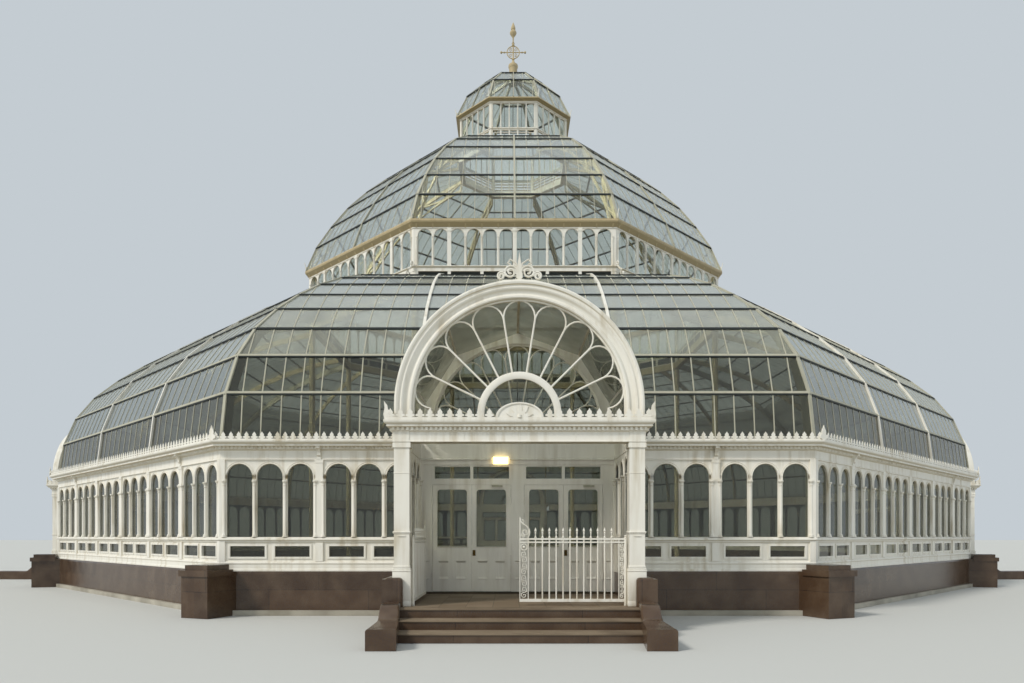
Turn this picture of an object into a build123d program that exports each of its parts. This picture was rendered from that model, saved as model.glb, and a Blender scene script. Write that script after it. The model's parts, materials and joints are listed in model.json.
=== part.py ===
"""A great domed glasshouse on an octagon plan, in white cast iron and glass on a granite plinth.

Millimetres. The origin is the middle of the plan at ground level, +Z is up, and the main entrance
looks towards -Y. Every side is drawn once, on the front, and then turned about the middle."""

import math
import os

from build123d import *

# Steps drawn along curves
HEAD_STEPS = 3
ARCH_STEPS = 14
INNER_ARCH_STEPS = 10
FAN_RING_STEPS = 8
ROUND_STEPS = 8
CROSS_RING_STEPS = 12
LEAF_CORNER_STEPS = 2
RAMP_STEPS = 4

# Plan
SIDES = 8
BAY = 2032.0
BAY_COUNT = 6
ENTRANCE_BAY_COUNT = 2
LIGHT_COUNT = 3

# Heights of the lower wall, from the ground up
KERB_HEIGHT = 106.0
FLOOR_HEIGHT = 437.0
PLINTH_HEIGHT = 900.0
BASE_HEIGHT = 200.0
LOW_LIGHT_BAND = 387.0
SILL_HEIGHT = 113.0
LIGHT_HEIGHT = 1238.0
HEAD_HEIGHT = 347.0
FRIEZE_HEIGHT = 213.0
CORNICE_HEIGHT = 164.0

# Thicknesses and projections of the lower wall
KERB_DEPTH = 90.0
PLINTH_OUT = 60.0
PLINTH_IN = 300.0
PLINTH_LEDGE = 50.0
WALL_THICK = 90.0
BASE_OUT = 45.0
SILL_OUT = 60.0
PILASTER_OUT = 35.0
PILASTER_WIDTH = 155.0
BAY_EDGE = 158.5
MULLION = 101.5
LOW_LIGHT_SIDE = 102.0
LOW_LIGHT_MARGIN = 70.0
CORNER_POST_HALF = 105.0
CORNER_POST_OUT = 35.0
GLASS_THICK = 12.0
FRIEZE_OUT = 20.0
CORNICE_OUT = 250.0
CORNICE_EDGE = 70.0
MITRE_GAP = 2.0

# Pedestals at the corners
PEDESTAL_HALF = 338.0
PEDESTAL_OUT = 695.0
PEDESTAL_BODY_HEIGHT = 823.0
PEDESTAL_CAP_HEIGHT = 123.0
PEDESTAL_CAP_OVER = 37.0
PEDESTAL_SLAB_HEIGHT = 97.0
PEDESTAL_SLAB_IN = 48.0
PEDESTAL_CLEAR = 2.0

# Lower roof: the slope of each glazed course from the eaves up, the first course a little longer
LOWER_SLOPES = (83.0, 70.0, 55.5, 44.0, 38.0, 34.0, 29.0, 24.0, 19.5, 15.5, 12.0)
EAVES_COURSE_SHARE = 1.122
EAVES_SET_BACK = 17.0
HIP_HALF = 35.0
HIP_RISE = 30.0
HIP_DEPTH = 220.0
RIB_THICK = 60.0
RIB_DEPTH = 180.0
ROOF_GLASS = 10.0
COURSE_GAP = 30.0

# Clerestory, the second storey
CLERESTORY_OUT = 7451.3
RING_BEAM_HEIGHT = 260.0
RING_BEAM_WIDTH = 200.0
COLUMN_RADIUS = 110.0
CLERESTORY_THICK = 100.0
CLERESTORY_SILL = 494.0
CLERESTORY_HEIGHT = 1662.0
CLERESTORY_LIGHT_COUNT = 12
CLERESTORY_MULLION = 76.0
CLERESTORY_HEAD = 44.0
CLERESTORY_POST_HALF = 90.0
CLERESTORY_CORNICE_HEIGHT = 222.0
CLERESTORY_CORNICE_OUT = 127.0
CLERESTORY_CORNICE_LIP = 89.0

# Upper roof
UPPER_SLOPES = (69.0, 59.5, 55.0, 48.0, 42.0, 34.0, 26.5, 20.0)
UPPER_SET_IN = 31.0
LATTICE_DEPTH = 420.0
LATTICE_BAR = 60.0

# Lantern, the third storey
LANTERN_OUT = 2089.7
LANTERN_SET_IN = 80.0
LANTERN_RING_HEIGHT = 160.0
LANTERN_THICK = 60.0
LANTERN_POST_HALF = 60.0
LANTERN_SILL = 590.0
LANTERN_HEIGHT = 1564.0
LANTERN_LIGHT_COUNT = 5
LANTERN_MULLION = 60.0
LANTERN_HEAD = 70.0
LANTERN_CORNICE_HEIGHT = 88.0
LANTERN_CORNICE_OUT = 165.0
LANTERN_CORNICE_LIP = 35.0
LANTERN_SLOPES = (65.5, 45.0, 23.5)
LANTERN_RIB_DEPTH = 90.0

# Finial
FINIAL_RADIUS = 183.0
FINIAL_DRUM_HEIGHT = 600.0
FINIAL_BELL_HEIGHT = 60.0
FINIAL_BELL_RADIUS = 90.0
FINIAL_NECK_HEIGHT = 100.0
STEM_RADIUS = 32.0
CROSS_CLIMB = 340.0
CROSS_HALF = 535.0
CROSS_BAR = 45.0
CROSS_RING = 251.0
TORCH_CLIMB = 640.0
TORCH_RADIUS = 140.0
TORCH_NECK_RADIUS = 48.0
FLAME_HEIGHT = 314.0
FLAME_TIP_RADIUS = 8.0

# Entrance porches
PORCH_DEPTH = 2693.0
PIER_WIDTH = 262.0
PIER_OVER = 84.0
PIER_BASE_HEIGHT = 643.0
PIER_BASE_OUT = 20.0
PIER_CAP = 75.0
PORCH_NOSE = 190.0
PORCH_WALL_HALF = 45.0
PORCH_WALL_END = 81.5
PORCH_LIGHT_COUNT = 4
PORCH_MULLION = 140.0
SIDE_PLINTH_WIDTH = 176.0
STEPS_OVER = 6.0
STEP_TREADS = (280.0, 400.0, 450.0)
CHEEK_WIDTH = 370.0
CHEEK_REACH = 730.0
CHEEK_BLOCK_HEIGHT = 330.0
CHEEK_BLOCK_LENGTH = 620.0
CHEEK_RISE = 210.0
CHEEK_RAMP_LAP = 400.0
BEAM_FRIEZE_OUT = 20.0
BEAM_CORNICE_OUT = 154.0
BEAM_BED = 40.0

# Arches over the porches
ARCH_STILT = 261.0
ARCH_WIDTH = 305.0
ARCH_THICK = 170.0
ARCH_ROLL = 120.0
ARCH_ROLL_OUT = 40.0
FAN_THICK = 50.0
FAN_BAR = 42.0
FAN_BAR_COUNT = 8
FAN_RING_STILT = 135.0
FAN_RING_OUTER = 714.0
FAN_RING_WIDTH = 120.0
FAN_RIM = 30.0
FAN_SET_BACK = 70.0
VAULT_SET_IN = 160.0
VAULT_ANGLES = (0.0, 15.0, 50.0, 90.0, 130.0, 165.0, 180.0)
VAULT_GLASS = 12.0
VAULT_RIB_HALF = 25.0
VAULT_RIB_DEPTH = 60.0
INNER_ARCH_WIDTH = 230.0

# Doors
DOOR_SILL_HEIGHT = 43.0
DOOR_SILL_OUT = 40.0
DOOR_FRAME_THICK = 110.0
MULLION_HALF = 135.0
JAMB_WIDTH = 242.0
DOOR_HEIGHT = 2184.0
TRANSOM_HEIGHT = 413.0
TRANSOM_RAIL = 126.0
TRANSOM_HEAD = 40.0
TRANSOM_BAR = 60.0
DOOR_GAP = 5.0
LEAF_THICK = 55.0
STILE = 88.0
BOTTOM_RAIL = 251.0
PANEL_HEIGHT = 385.0
LOCK_RAIL = 274.0
TOP_RAIL = 87.0
LEAF_CORNER = 70.0
PANEL_DEEP = 12.0
PANEL_SIDE = 118.0
PANEL_BAR = 154.0
LEAF_PANE = 8.0
PANE_LAP = 20.0
BARREL_RADIUS = 14.0
BARREL_HEIGHT = 70.0
BARREL_GAP = 0.3
HINGE_FROM_BOTTOM = 315.0
HINGE_FROM_TOP = 319.0
FLAP_LENGTH = 45.0
FLAP_THICK = 6.0

# Lamp over the doors
LAMP_PLACE = -346.0
LAMP_RAISE = 5.0
LAMP_WIDTH = 310.0
LAMP_HEIGHT = 145.0
LAMP_DEPTH = 80.0

# Gates
GATE_THICK = 40.0
GATE_STILE_RADIUS = 22.0
GATE_STILE_CLEAR = 8.0
GATE_CLEAR = 63.0
GATE_HEIGHT = 1083.0
GATE_RAIL = 50.0
GATE_SPIKE = 187.0
GATE_BAR_COUNT = 14
GATE_BAR_WIDTH = 26.0
GATE_MEETING_WIDTH = 155.0
GATE_MEETING_RISE = 367.0
GATE_FOOT_GAP = 0.3

# The plan, from the sizes above
HALF_TURN = math.radians(180.0 / SIDES)
WALL_OUT = BAY * BAY_COUNT / 2.0 / math.tan(HALF_TURN)
WALL_IN = WALL_OUT - WALL_THICK
CORNER_OUT = WALL_OUT / math.cos(HALF_TURN)
SLAB_EDGE = WALL_OUT - PLINTH_IN
LIGHT_PITCH = (BAY - BAY_EDGE) / LIGHT_COUNT
LIGHT_WIDTH = LIGHT_PITCH - MULLION
LOW_LIGHT_HALF = (BAY - PILASTER_WIDTH) / 2.0 - LOW_LIGHT_SIDE
PORCH_HALF = BAY * ENTRANCE_BAY_COUNT / 2.0
PORCH_WALL_INNER = PORCH_HALF - PORCH_WALL_HALF
PIER_OUTER = PORCH_HALF + PIER_OVER
PIER_INNER = PIER_OUTER - PIER_WIDTH
PIER_FRONT = WALL_OUT + PORCH_DEPTH
PIER_BACK = PIER_FRONT - PIER_WIDTH
PORCH_EDGE = PIER_FRONT + PORCH_NOSE
PORCH_LIGHT_PITCH = (PIER_BACK - WALL_OUT - 2.0 * PORCH_WALL_END) / PORCH_LIGHT_COUNT
SIDE_PLINTH_OUTER = PIER_OUTER + SIDE_PLINTH_WIDTH
BEAM_SIDE_OUTER = PIER_OUTER + BEAM_CORNICE_OUT
STEPS_HALF = PIER_INNER + STEPS_OVER
STEPS_FRONT = PORCH_EDGE + sum(STEP_TREADS)
CHEEK_OUTER = STEPS_HALF + CHEEK_WIDTH
CHEEK_FRONT = STEPS_FRONT + CHEEK_REACH
JAMB_INNER = PORCH_WALL_INNER - JAMB_WIDTH
LEAVES_MEET = (MULLION_HALF + JAMB_INNER) / 2.0
HINGE_PLACES = (JAMB_INNER - DOOR_GAP / 2.0, MULLION_HALF + DOOR_GAP / 2.0)
GATE_PLANE = PIER_FRONT - PIER_WIDTH / 2.0
GATE_PIVOT = PIER_INNER - PIER_BASE_OUT - GATE_STILE_CLEAR - GATE_STILE_RADIUS

# The levels, from the sizes above
BASE_TOP = PLINTH_HEIGHT + BASE_HEIGHT
SILL_BOTTOM = BASE_TOP + LOW_LIGHT_BAND
SILL_TOP = SILL_BOTTOM + SILL_HEIGHT
LIGHT_SPRING = SILL_TOP + LIGHT_HEIGHT
WALL_TOP = LIGHT_SPRING + HEAD_HEIGHT
FRIEZE_TOP = WALL_TOP + FRIEZE_HEIGHT
CORNICE_TOP = FRIEZE_TOP + CORNICE_HEIGHT
CHEEK_TOP = CHEEK_BLOCK_HEIGHT + CHEEK_RISE
DOOR_SILL_TOP = FLOOR_HEIGHT + DOOR_SILL_HEIGHT
DOOR_BOTTOM = DOOR_SILL_TOP + DOOR_GAP
DOOR_TOP = DOOR_BOTTOM + DOOR_HEIGHT
HINGE_HEIGHTS = (DOOR_BOTTOM + HINGE_FROM_BOTTOM, DOOR_TOP - HINGE_FROM_TOP)
TRANSOM_BOTTOM = DOOR_TOP + DOOR_GAP
TRANSOM_TOP = TRANSOM_BOTTOM + TRANSOM_HEIGHT
GATE_BOTTOM = FLOOR_HEIGHT + GATE_CLEAR
GATE_TOP = GATE_BOTTOM + GATE_HEIGHT

# The arches, from the sizes above
ARCH_OUTER = PIER_OUTER
ARCH_INNER = ARCH_OUTER - ARCH_WIDTH
ARCH_CENTRE = CORNICE_TOP + ARCH_STILT
FAN_RING_CENTRE = CORNICE_TOP + FAN_RING_STILT
FAN_RING_INNER = FAN_RING_OUTER - FAN_RING_WIDTH
VAULT_RADIUS = ARCH_OUTER - VAULT_SET_IN
INNER_ARCH_RADIUS = VAULT_RADIUS - INNER_ARCH_WIDTH


def arc(middle_x, middle_y, radius, start, end, steps):
    """Points along an arc, angles in degrees, both ends among them."""
    points = []
    for step in range(steps + 1):
        angle = math.radians(start + (end - start) * step / steps)
        points.append((middle_x + radius * math.cos(angle), middle_y + radius * math.sin(angle)))
    return points


def box_outline(left, right, bottom, top):
    return [(left, bottom), (right, bottom), (right, top), (left, top)]


def arched_outline(middle, width, bottom, spring, steps):
    """A window with a round head, as seen from outside."""
    half = width / 2.0
    return [(middle - half, bottom), (middle + half, bottom)] + arc(middle, spring, half, 0, 180, steps)


def anticlockwise(points):
    area = sum(a[0] * b[1] - b[0] * a[1] for a, b in zip(points, points[1:] + points[:1]))
    return points if area > 0 else points[::-1]


def flat(outline, holes=()):
    """A face from an outline and the outlines of its holes."""
    rings = [Wire.make_polygon(anticlockwise(ring)) for ring in (outline, *holes)]
    return Face(rings[0], rings[1:])


def panel(outline, holes, outer, thick):
    """A flat panel that stands on the front side, its outer face that far from the middle."""
    plane = Plane(origin=(0, thick - outer, 0), x_dir=(1, 0, 0), z_dir=(0, -1, 0))
    return Solid.extrude(plane * flat(outline, holes), Vector(0, -thick, 0))


def run(profile, left, right):
    """A bar along the front side, drawn as (distance from the middle, height)."""
    plane = Plane(origin=(right, 0, 0), x_dir=(0, -1, 0), z_dir=(-1, 0, 0))
    return Solid.extrude(plane * flat(profile), Vector(left - right, 0, 0))


def block(left, right, near, far, bottom, top):
    return run(box_outline(near, far, bottom, top), left, right)


def prism(outline, bottom, top):
    """An upright prism over an outline in plan."""
    return Solid.extrude(flat(outline), Vector(0, 0, top - bottom)).moved(Location((0, 0, bottom)))


def octagon(distance, bottom, top, turn=0.0):
    radius = distance / math.cos(HALF_TURN)
    start = 180.0 / SIDES + turn
    return prism(arc(0, 0, radius, start, start + 360.0, SIDES)[:-1], bottom, top)


def sector(offset):
    """The room of one side, between two planes that stand that far inside the corners."""
    near = offset / math.sin(HALF_TURN)
    far = 2.0 * CORNER_OUT
    reach_x = far * math.sin(HALF_TURN)
    reach_y = far * math.cos(HALF_TURN)
    return prism([(0, -near), (reach_x, -near - reach_y), (-reach_x, -near - reach_y)], 0, far)


def solids_of(*shapes):
    found = []
    for shape in shapes:
        if isinstance(shape, (list, tuple)):
            found += solids_of(*shape)
        elif shape is not None:
            found += shape.solids()
    return found


def cut_to(room, shapes):
    return solids_of([shape & room for shape in solids_of(shapes)])


def turned(shapes, places):
    """Copies of the front side's pieces on the sides in the list."""
    step = 360.0 / SIDES
    return [shape.rotate(Axis.Z, step * place) for place in places for shape in solids_of(shapes)]


def mirrored(shapes):
    return [shape.mirror(Plane.YZ) for shape in solids_of(shapes)]


ALL_SIDES = range(SIDES)
CORNERS = [place + 0.5 for place in range(SIDES)]
ENTRANCE_SIDES = range(0, SIDES, 2)
PLAIN_SIDES = range(1, SIDES, 2)
FIXED_ENTRANCES = range(2, SIDES, 2)


def climb(distance, height, slopes, end, first_share=1.0):
    """A roof line as (distance from the middle, height), its courses all as long as the span asks."""
    shares = [first_share] + [1.0] * (len(slopes) - 1)
    angles = [math.radians(slope) for slope in slopes]
    course = (distance - end) / sum(share * math.cos(angle) for share, angle in zip(shares, angles))
    line = [(distance, height)]
    for share, angle in zip(shares, angles):
        distance -= course * share * math.cos(angle)
        height += course * share * math.sin(angle)
        line.append((distance, height))
    return line


def shifted(line, outwards):
    """The same line moved square to itself, its corners mitred."""
    slopes = [math.atan2(b[1] - a[1], a[0] - b[0]) for a, b in zip(line, line[1:])]
    slopes = [slopes[0], *slopes, slopes[-1]]
    moved = []
    for (distance, height), before, after in zip(line, slopes, slopes[1:]):
        middle = (before + after) / 2.0
        reach = outwards / math.cos((after - before) / 2.0)
        moved.append((distance + reach * math.sin(middle), height + reach * math.cos(middle)))
    return moved


def at_corner(line):
    """The same roof line in the plane of a corner."""
    return [(distance / math.cos(HALF_TURN), height) for distance, height in line]


def rib_outline(line, rise, depth):
    """A rib's side: its top edge, then its lower edge, cut level at the foot and plumb at the head."""
    top = shifted(line, rise)
    low = shifted(line, -depth)
    first_slope = math.atan2(line[1][1] - line[0][1], line[0][0] - line[1][0])
    last_slope = math.atan2(line[-1][1] - line[-2][1], line[-2][0] - line[-1][0])
    top[0] = (line[0][0] + rise / math.sin(first_slope), line[0][1])
    low[0] = (line[0][0] - depth / math.sin(first_slope), line[0][1])
    top[-1] = (line[-1][0], line[-1][1] + rise / math.cos(last_slope))
    low[-1] = (line[-1][0], line[-1][1] - depth / math.cos(last_slope))
    return top + low[::-1]


def glass_courses(line, thick):
    """The glass of one side, a sheet for each course, with a lap line left between them."""
    sheets = []
    for (low_r, low_z), (high_r, high_z) in zip(line, line[1:]):
        length = math.hypot(low_r - high_r, high_z - low_z)
        along_r, along_z = (high_r - low_r) / length, (high_z - low_z) / length
        out_r, out_z = along_z * thick, -along_r * thick
        half = COURSE_GAP / 2.0
        start = (low_r + along_r * half, low_z + along_z * half)
        end = (high_r - along_r * half, high_z - along_z * half)
        outline = [start, end, (end[0] + out_r, end[1] + out_z), (start[0] + out_r, start[1] + out_z)]
        reach = low_r * math.tan(HALF_TURN)
        sheets.append(run(outline, -reach, reach))
    return cut_to(sector(HIP_HALF), sheets)


# Roof lines
LOWER_LINE = climb(
    WALL_OUT - EAVES_SET_BACK, CORNICE_TOP, LOWER_SLOPES, CLERESTORY_OUT, EAVES_COURSE_SHARE
)
CLERESTORY_BASE = LOWER_LINE[-1][1]
CLERESTORY_IN = CLERESTORY_OUT - CLERESTORY_THICK
CLERESTORY_TOP = CLERESTORY_BASE + CLERESTORY_HEIGHT
CLERESTORY_CORNICE_TOP = CLERESTORY_TOP + CLERESTORY_CORNICE_HEIGHT
UPPER_LINE = climb(
    CLERESTORY_OUT + CLERESTORY_CORNICE_OUT - UPPER_SET_IN,
    CLERESTORY_CORNICE_TOP,
    UPPER_SLOPES,
    LANTERN_OUT + LANTERN_SET_IN,
)
LANTERN_BASE = UPPER_LINE[-1][1]
LANTERN_TOP = LANTERN_BASE + LANTERN_HEIGHT
LANTERN_CORNICE_TOP = LANTERN_TOP + LANTERN_CORNICE_HEIGHT
LANTERN_LINE = climb(
    LANTERN_OUT + LANTERN_CORNICE_OUT - UPPER_SET_IN, LANTERN_CORNICE_TOP, LANTERN_SLOPES, FINIAL_RADIUS
)
ROOF_TIP = LANTERN_LINE[-1][1]


def bay_lights(first, last):
    """Window outlines of the bays between two bay lines, counted from the middle of the side."""
    lights = []
    for bay in range(first, last):
        middle = (bay + 0.5) * BAY
        for place in range(LIGHT_COUNT):
            centre = middle + (place - (LIGHT_COUNT - 1) / 2.0) * LIGHT_PITCH
            lights.append(arched_outline(centre, LIGHT_WIDTH, SILL_TOP, LIGHT_SPRING, HEAD_STEPS))
        low, high = BASE_TOP + LOW_LIGHT_MARGIN, SILL_BOTTOM - LOW_LIGHT_MARGIN
        lights.append(box_outline(middle - LOW_LIGHT_HALF, middle + LOW_LIGHT_HALF, low, high))
    return lights


def arcade_wall(left, right, first, last):
    """One cast-iron wall of arched lights, with its base, sill and bay pilasters."""
    outline = box_outline(left, right, PLINTH_HEIGHT, WALL_TOP)
    wall = panel(outline, bay_lights(first, last), WALL_OUT, WALL_THICK)
    base = block(left, right, WALL_OUT, WALL_OUT + BASE_OUT, PLINTH_HEIGHT, BASE_TOP)
    sill = block(left, right, WALL_OUT, WALL_OUT + SILL_OUT, SILL_BOTTOM, SILL_TOP)
    for line in range(first + 1, last):
        low, high = line * BAY - PILASTER_WIDTH / 2.0, line * BAY + PILASTER_WIDTH / 2.0
        wall = wall + block(low, high, WALL_OUT, WALL_OUT + PILASTER_OUT, BASE_TOP, WALL_TOP)
    return solids_of(wall + base + sill)


def lower_wall():
    """The arcade walls and their glass, whole on plain sides and halved by the entrances."""
    room = sector(CORNER_POST_HALF)
    half_bays = BAY_COUNT // 2
    reach = half_bays * BAY
    plain = cut_to(room, arcade_wall(-reach, reach, -half_bays, half_bays))
    beside = cut_to(room, arcade_wall(PIER_OUTER, reach, ENTRANCE_BAY_COUNT // 2, half_bays))
    walls = turned(plain, PLAIN_SIDES) + turned(beside + mirrored(beside), ENTRANCE_SIDES)
    low, high = BASE_TOP, WALL_TOP
    glass_plain = panel(box_outline(-reach, reach, low, high), (), WALL_IN, GLASS_THICK)
    glass_beside = panel(box_outline(PIER_OUTER, reach, low, high), (), WALL_IN, GLASS_THICK)
    beside_glass = cut_to(room, glass_beside)
    glass = turned(cut_to(room, glass_plain), PLAIN_SIDES)
    glass += turned(beside_glass + mirrored(beside_glass), ENTRANCE_SIDES)
    return walls, glass


def ring_pieces(profile, offset, start):
    """A moulding that runs round the building and stops at the porches."""
    reach = (WALL_OUT + PEDESTAL_OUT) * math.tan(HALF_TURN)
    room = sector(offset)
    plain = cut_to(room, run(profile, -reach, reach))
    beside = cut_to(room, run(profile, start, reach))
    return turned(plain, PLAIN_SIDES) + turned(beside + mirrored(beside), ENTRANCE_SIDES)


def plinth_and_kerb():
    outer = WALL_OUT + PLINTH_OUT
    profile = [
        (SLAB_EDGE, 0),
        (outer, 0),
        (outer, PLINTH_HEIGHT - PLINTH_LEDGE),
        (WALL_OUT + BASE_OUT, PLINTH_HEIGHT),
        (SLAB_EDGE, PLINTH_HEIGHT),
    ]
    kerb = box_outline(outer, outer + KERB_DEPTH, 0, KERB_HEIGHT)
    granite = ring_pieces(profile, PEDESTAL_HALF, SIDE_PLINTH_OUTER)
    stone = ring_pieces(kerb, PEDESTAL_HALF, SIDE_PLINTH_OUTER)
    side_kerb = block(
        SIDE_PLINTH_OUTER,
        SIDE_PLINTH_OUTER + KERB_DEPTH,
        outer + KERB_DEPTH + MITRE_GAP,
        PORCH_EDGE,
        0,
        KERB_HEIGHT,
    )
    stone += turned(solids_of(side_kerb) + mirrored(side_kerb), ENTRANCE_SIDES)
    return granite, stone


def corner_pedestals():
    """Granite blocks that tie the plinth at each corner and stand out as bare pedestals."""
    face = (WALL_OUT + CORNER_POST_OUT) / math.cos(HALF_TURN) + PEDESTAL_CLEAR
    far = CORNER_OUT + PEDESTAL_OUT
    tie = block(-PEDESTAL_HALF, PEDESTAL_HALF, SLAB_EDGE, face, 0, PLINTH_HEIGHT)
    tie = tie - octagon(SLAB_EDGE, 0, PLINTH_HEIGHT, 180.0 / SIDES)
    body = block(-PEDESTAL_HALF, PEDESTAL_HALF, face, far, 0, PEDESTAL_BODY_HEIGHT)
    cap_half = PEDESTAL_HALF + PEDESTAL_CAP_OVER
    cap_top = PEDESTAL_BODY_HEIGHT + PEDESTAL_CAP_HEIGHT
    cap = block(-cap_half, cap_half, face, far + PEDESTAL_CAP_OVER, PEDESTAL_BODY_HEIGHT, cap_top)
    slab_half = PEDESTAL_HALF - PEDESTAL_SLAB_IN
    slab_far = far - PEDESTAL_SLAB_IN
    slab_top = cap_top + PEDESTAL_SLAB_HEIGHT
    slab = block(-slab_half, slab_half, slab_far - 2 * slab_half, slab_far, cap_top, slab_top)
    return turned(tie + body + cap + slab, CORNERS)


def corner_post(inner_wall, out, half, bottom, top):
    """A post in the angle between two walls, its outer side pointed as the walls meet."""
    near = inner_wall / math.cos(HALF_TURN) - half * math.tan(HALF_TURN)
    tip = out / math.cos(HALF_TURN)
    shoulder = tip - half * math.tan(HALF_TURN)
    plan = [(-half, -near), (half, -near), (half, -shoulder), (0, -tip), (-half, -shoulder)]
    return prism(plan, bottom, top)


def corner_posts():
    out = WALL_OUT + CORNER_POST_OUT
    return turned(corner_post(WALL_IN, out, CORNER_POST_HALF, PLINTH_HEIGHT, WALL_TOP), CORNERS)


def eaves_cornice():
    profile = [
        (WALL_IN, WALL_TOP),
        (WALL_OUT + FRIEZE_OUT, WALL_TOP),
        (WALL_OUT + FRIEZE_OUT, FRIEZE_TOP),
        (WALL_OUT + CORNICE_OUT, CORNICE_TOP - CORNICE_EDGE),
        (WALL_OUT + CORNICE_OUT, CORNICE_TOP),
        (WALL_IN, CORNICE_TOP),
    ]
    return ring_pieces(profile, MITRE_GAP / 2.0, BEAM_SIDE_OUTER)


def hip_ribs(line, rise, depth):
    outline = rib_outline(at_corner(line), rise, depth)
    return turned(run(outline, -HIP_HALF, HIP_HALF), CORNERS)


def principal_ribs():
    """Two ribs a side, on the lines of the entrance walls, under the glass of the lower roof."""
    outline = rib_outline(LOWER_LINE, 0.0, RIB_DEPTH)
    rib = run(outline, PORCH_HALF - RIB_THICK / 2.0, PORCH_HALF + RIB_THICK / 2.0)
    return turned(solids_of(rib) + mirrored(rib), ALL_SIDES)


def vault_outline(radius):
    """The entrance vault's many-sided arch, stilted down to the cornice."""
    top = []
    for angle in VAULT_ANGLES:
        turn = math.radians(angle)
        top.append((radius * math.cos(turn), ARCH_CENTRE + radius * math.sin(turn)))
    return [(-radius, CORNICE_TOP), (radius, CORNICE_TOP)] + top


def lower_roof_glass():
    """The glass of the lower roof, opened on the entrance sides where the vaults run into it."""
    courses = glass_courses(LOWER_LINE, ROOF_GLASS)
    vault = panel(vault_outline(VAULT_RADIUS), (), WALL_OUT + PLINTH_IN, WALL_OUT - CLERESTORY_OUT)
    opened = solids_of([course - vault for course in courses])
    return turned(courses, PLAIN_SIDES) + turned(opened, ENTRANCE_SIDES)


def inner_frame():
    """The ring of columns inside, and the beam on them that carries the second storey."""
    bottom = CLERESTORY_BASE - RING_BEAM_HEIGHT
    inner = CLERESTORY_OUT - RING_BEAM_WIDTH
    centre = (CLERESTORY_OUT - RING_BEAM_WIDTH / 2.0) / math.cos(HALF_TURN)
    ring = arc(0, -centre, COLUMN_RADIUS, 0, 360.0, SIDES)[:-1]
    columns = turned(prism(ring, FLOOR_HEIGHT, bottom), CORNERS)
    profile = box_outline(inner, CLERESTORY_OUT, bottom, CLERESTORY_BASE)
    reach = CLERESTORY_OUT * math.tan(HALF_TURN)
    beams = turned(cut_to(sector(MITRE_GAP / 2.0), run(profile, -reach, reach)), ALL_SIDES)
    return columns, beams


def between_posts(out, post_half):
    """The clear width of one side's wall between its corner posts."""
    return 2.0 * (out * math.tan(HALF_TURN) - post_half / math.cos(HALF_TURN))


def storey(out, base, top, thick, post_half, holes):
    """The walls, glass and corner posts of a storey that stands on the roof below."""
    reach = out * math.tan(HALF_TURN)
    room = sector(post_half)
    wall = cut_to(room, panel(box_outline(-reach, reach, base, top), holes, out, thick))
    low = min(point[1] for point in holes[0]) - thick
    glass_outline = box_outline(-reach, reach, low, top)
    glass = cut_to(room, panel(glass_outline, (), out - thick, GLASS_THICK))
    post = corner_post(out - thick, out, post_half, base, top)
    return turned(wall, ALL_SIDES), turned(glass, ALL_SIDES), turned(post, CORNERS)


def storey_cornice(out, inner, bottom, top, projection, lip):
    profile = [
        (inner, bottom),
        (out, bottom),
        (out + projection, top - lip),
        (out + projection, top),
        (inner, top),
    ]
    reach = (out + projection) * math.tan(HALF_TURN)
    return turned(cut_to(sector(MITRE_GAP / 2.0), run(profile, -reach, reach)), ALL_SIDES)


def clerestory():
    pitch = between_posts(CLERESTORY_OUT, CLERESTORY_POST_HALF) / CLERESTORY_LIGHT_COUNT
    width = pitch - CLERESTORY_MULLION
    spring = CLERESTORY_TOP - CLERESTORY_HEAD - width / 2.0
    sill = CLERESTORY_BASE + CLERESTORY_SILL
    holes = []
    for place in range(CLERESTORY_LIGHT_COUNT):
        centre = (place - (CLERESTORY_LIGHT_COUNT - 1) / 2.0) * pitch
        holes.append(arched_outline(centre, width, sill, spring, HEAD_STEPS))
    return storey(
        CLERESTORY_OUT, CLERESTORY_BASE, CLERESTORY_TOP, CLERESTORY_THICK, CLERESTORY_POST_HALF, holes
    )


def lattice_holes(line, depth):
    """Triangles between the booms of a curved lattice rib, their points inwards and outwards by turns."""
    points = rib_outline(line, -LATTICE_BAR, depth - LATTICE_BAR)
    top, low = points[: len(line)], points[len(line):][::-1]
    last = len(line) - 1
    holes = [[low[0], low[1], top[0]], [low[last - 1], low[last], top[last]]]
    for place in range(last - 1):
        base, tips = (low, top) if place % 2 else (top, low)
        holes.append([base[place], base[place + 2], tips[place + 1]])
    return [inset_triangle(hole, LATTICE_BAR / 2.0) for hole in holes]


def inset_triangle(points, margin):
    """A triangle drawn in from its own sides by a margin."""
    sides = [math.dist(points[place - 2], points[place - 1]) for place in range(3)]
    half = sum(sides) / 2.0
    area = math.sqrt(half * (half - sides[0]) * (half - sides[1]) * (half - sides[2]))
    share = 1.0 - margin * half / area
    centre_x = sum(side * x for side, (x, _) in zip(sides, points)) / (2.0 * half)
    centre_y = sum(side * y for side, (_, y) in zip(sides, points)) / (2.0 * half)
    return [(centre_x + (x - centre_x) * share, centre_y + (y - centre_y) * share) for x, y in points]


def upper_ribs():
    """Lattice ribs at the corners of the upper roof, each one flat casting with triangular openings."""
    line = at_corner(UPPER_LINE)
    outline = rib_outline(line, HIP_RISE, LATTICE_DEPTH)
    plane = Plane(origin=(HIP_HALF, 0, 0), x_dir=(0, -1, 0), z_dir=(-1, 0, 0))
    face = plane * flat(outline, lattice_holes(line, LATTICE_DEPTH))
    return turned(Solid.extrude(face, Vector(-2.0 * HIP_HALF, 0, 0)), CORNERS)


def upper_roof_glass():
    return turned(glass_courses(UPPER_LINE, ROOF_GLASS), ALL_SIDES)


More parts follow.
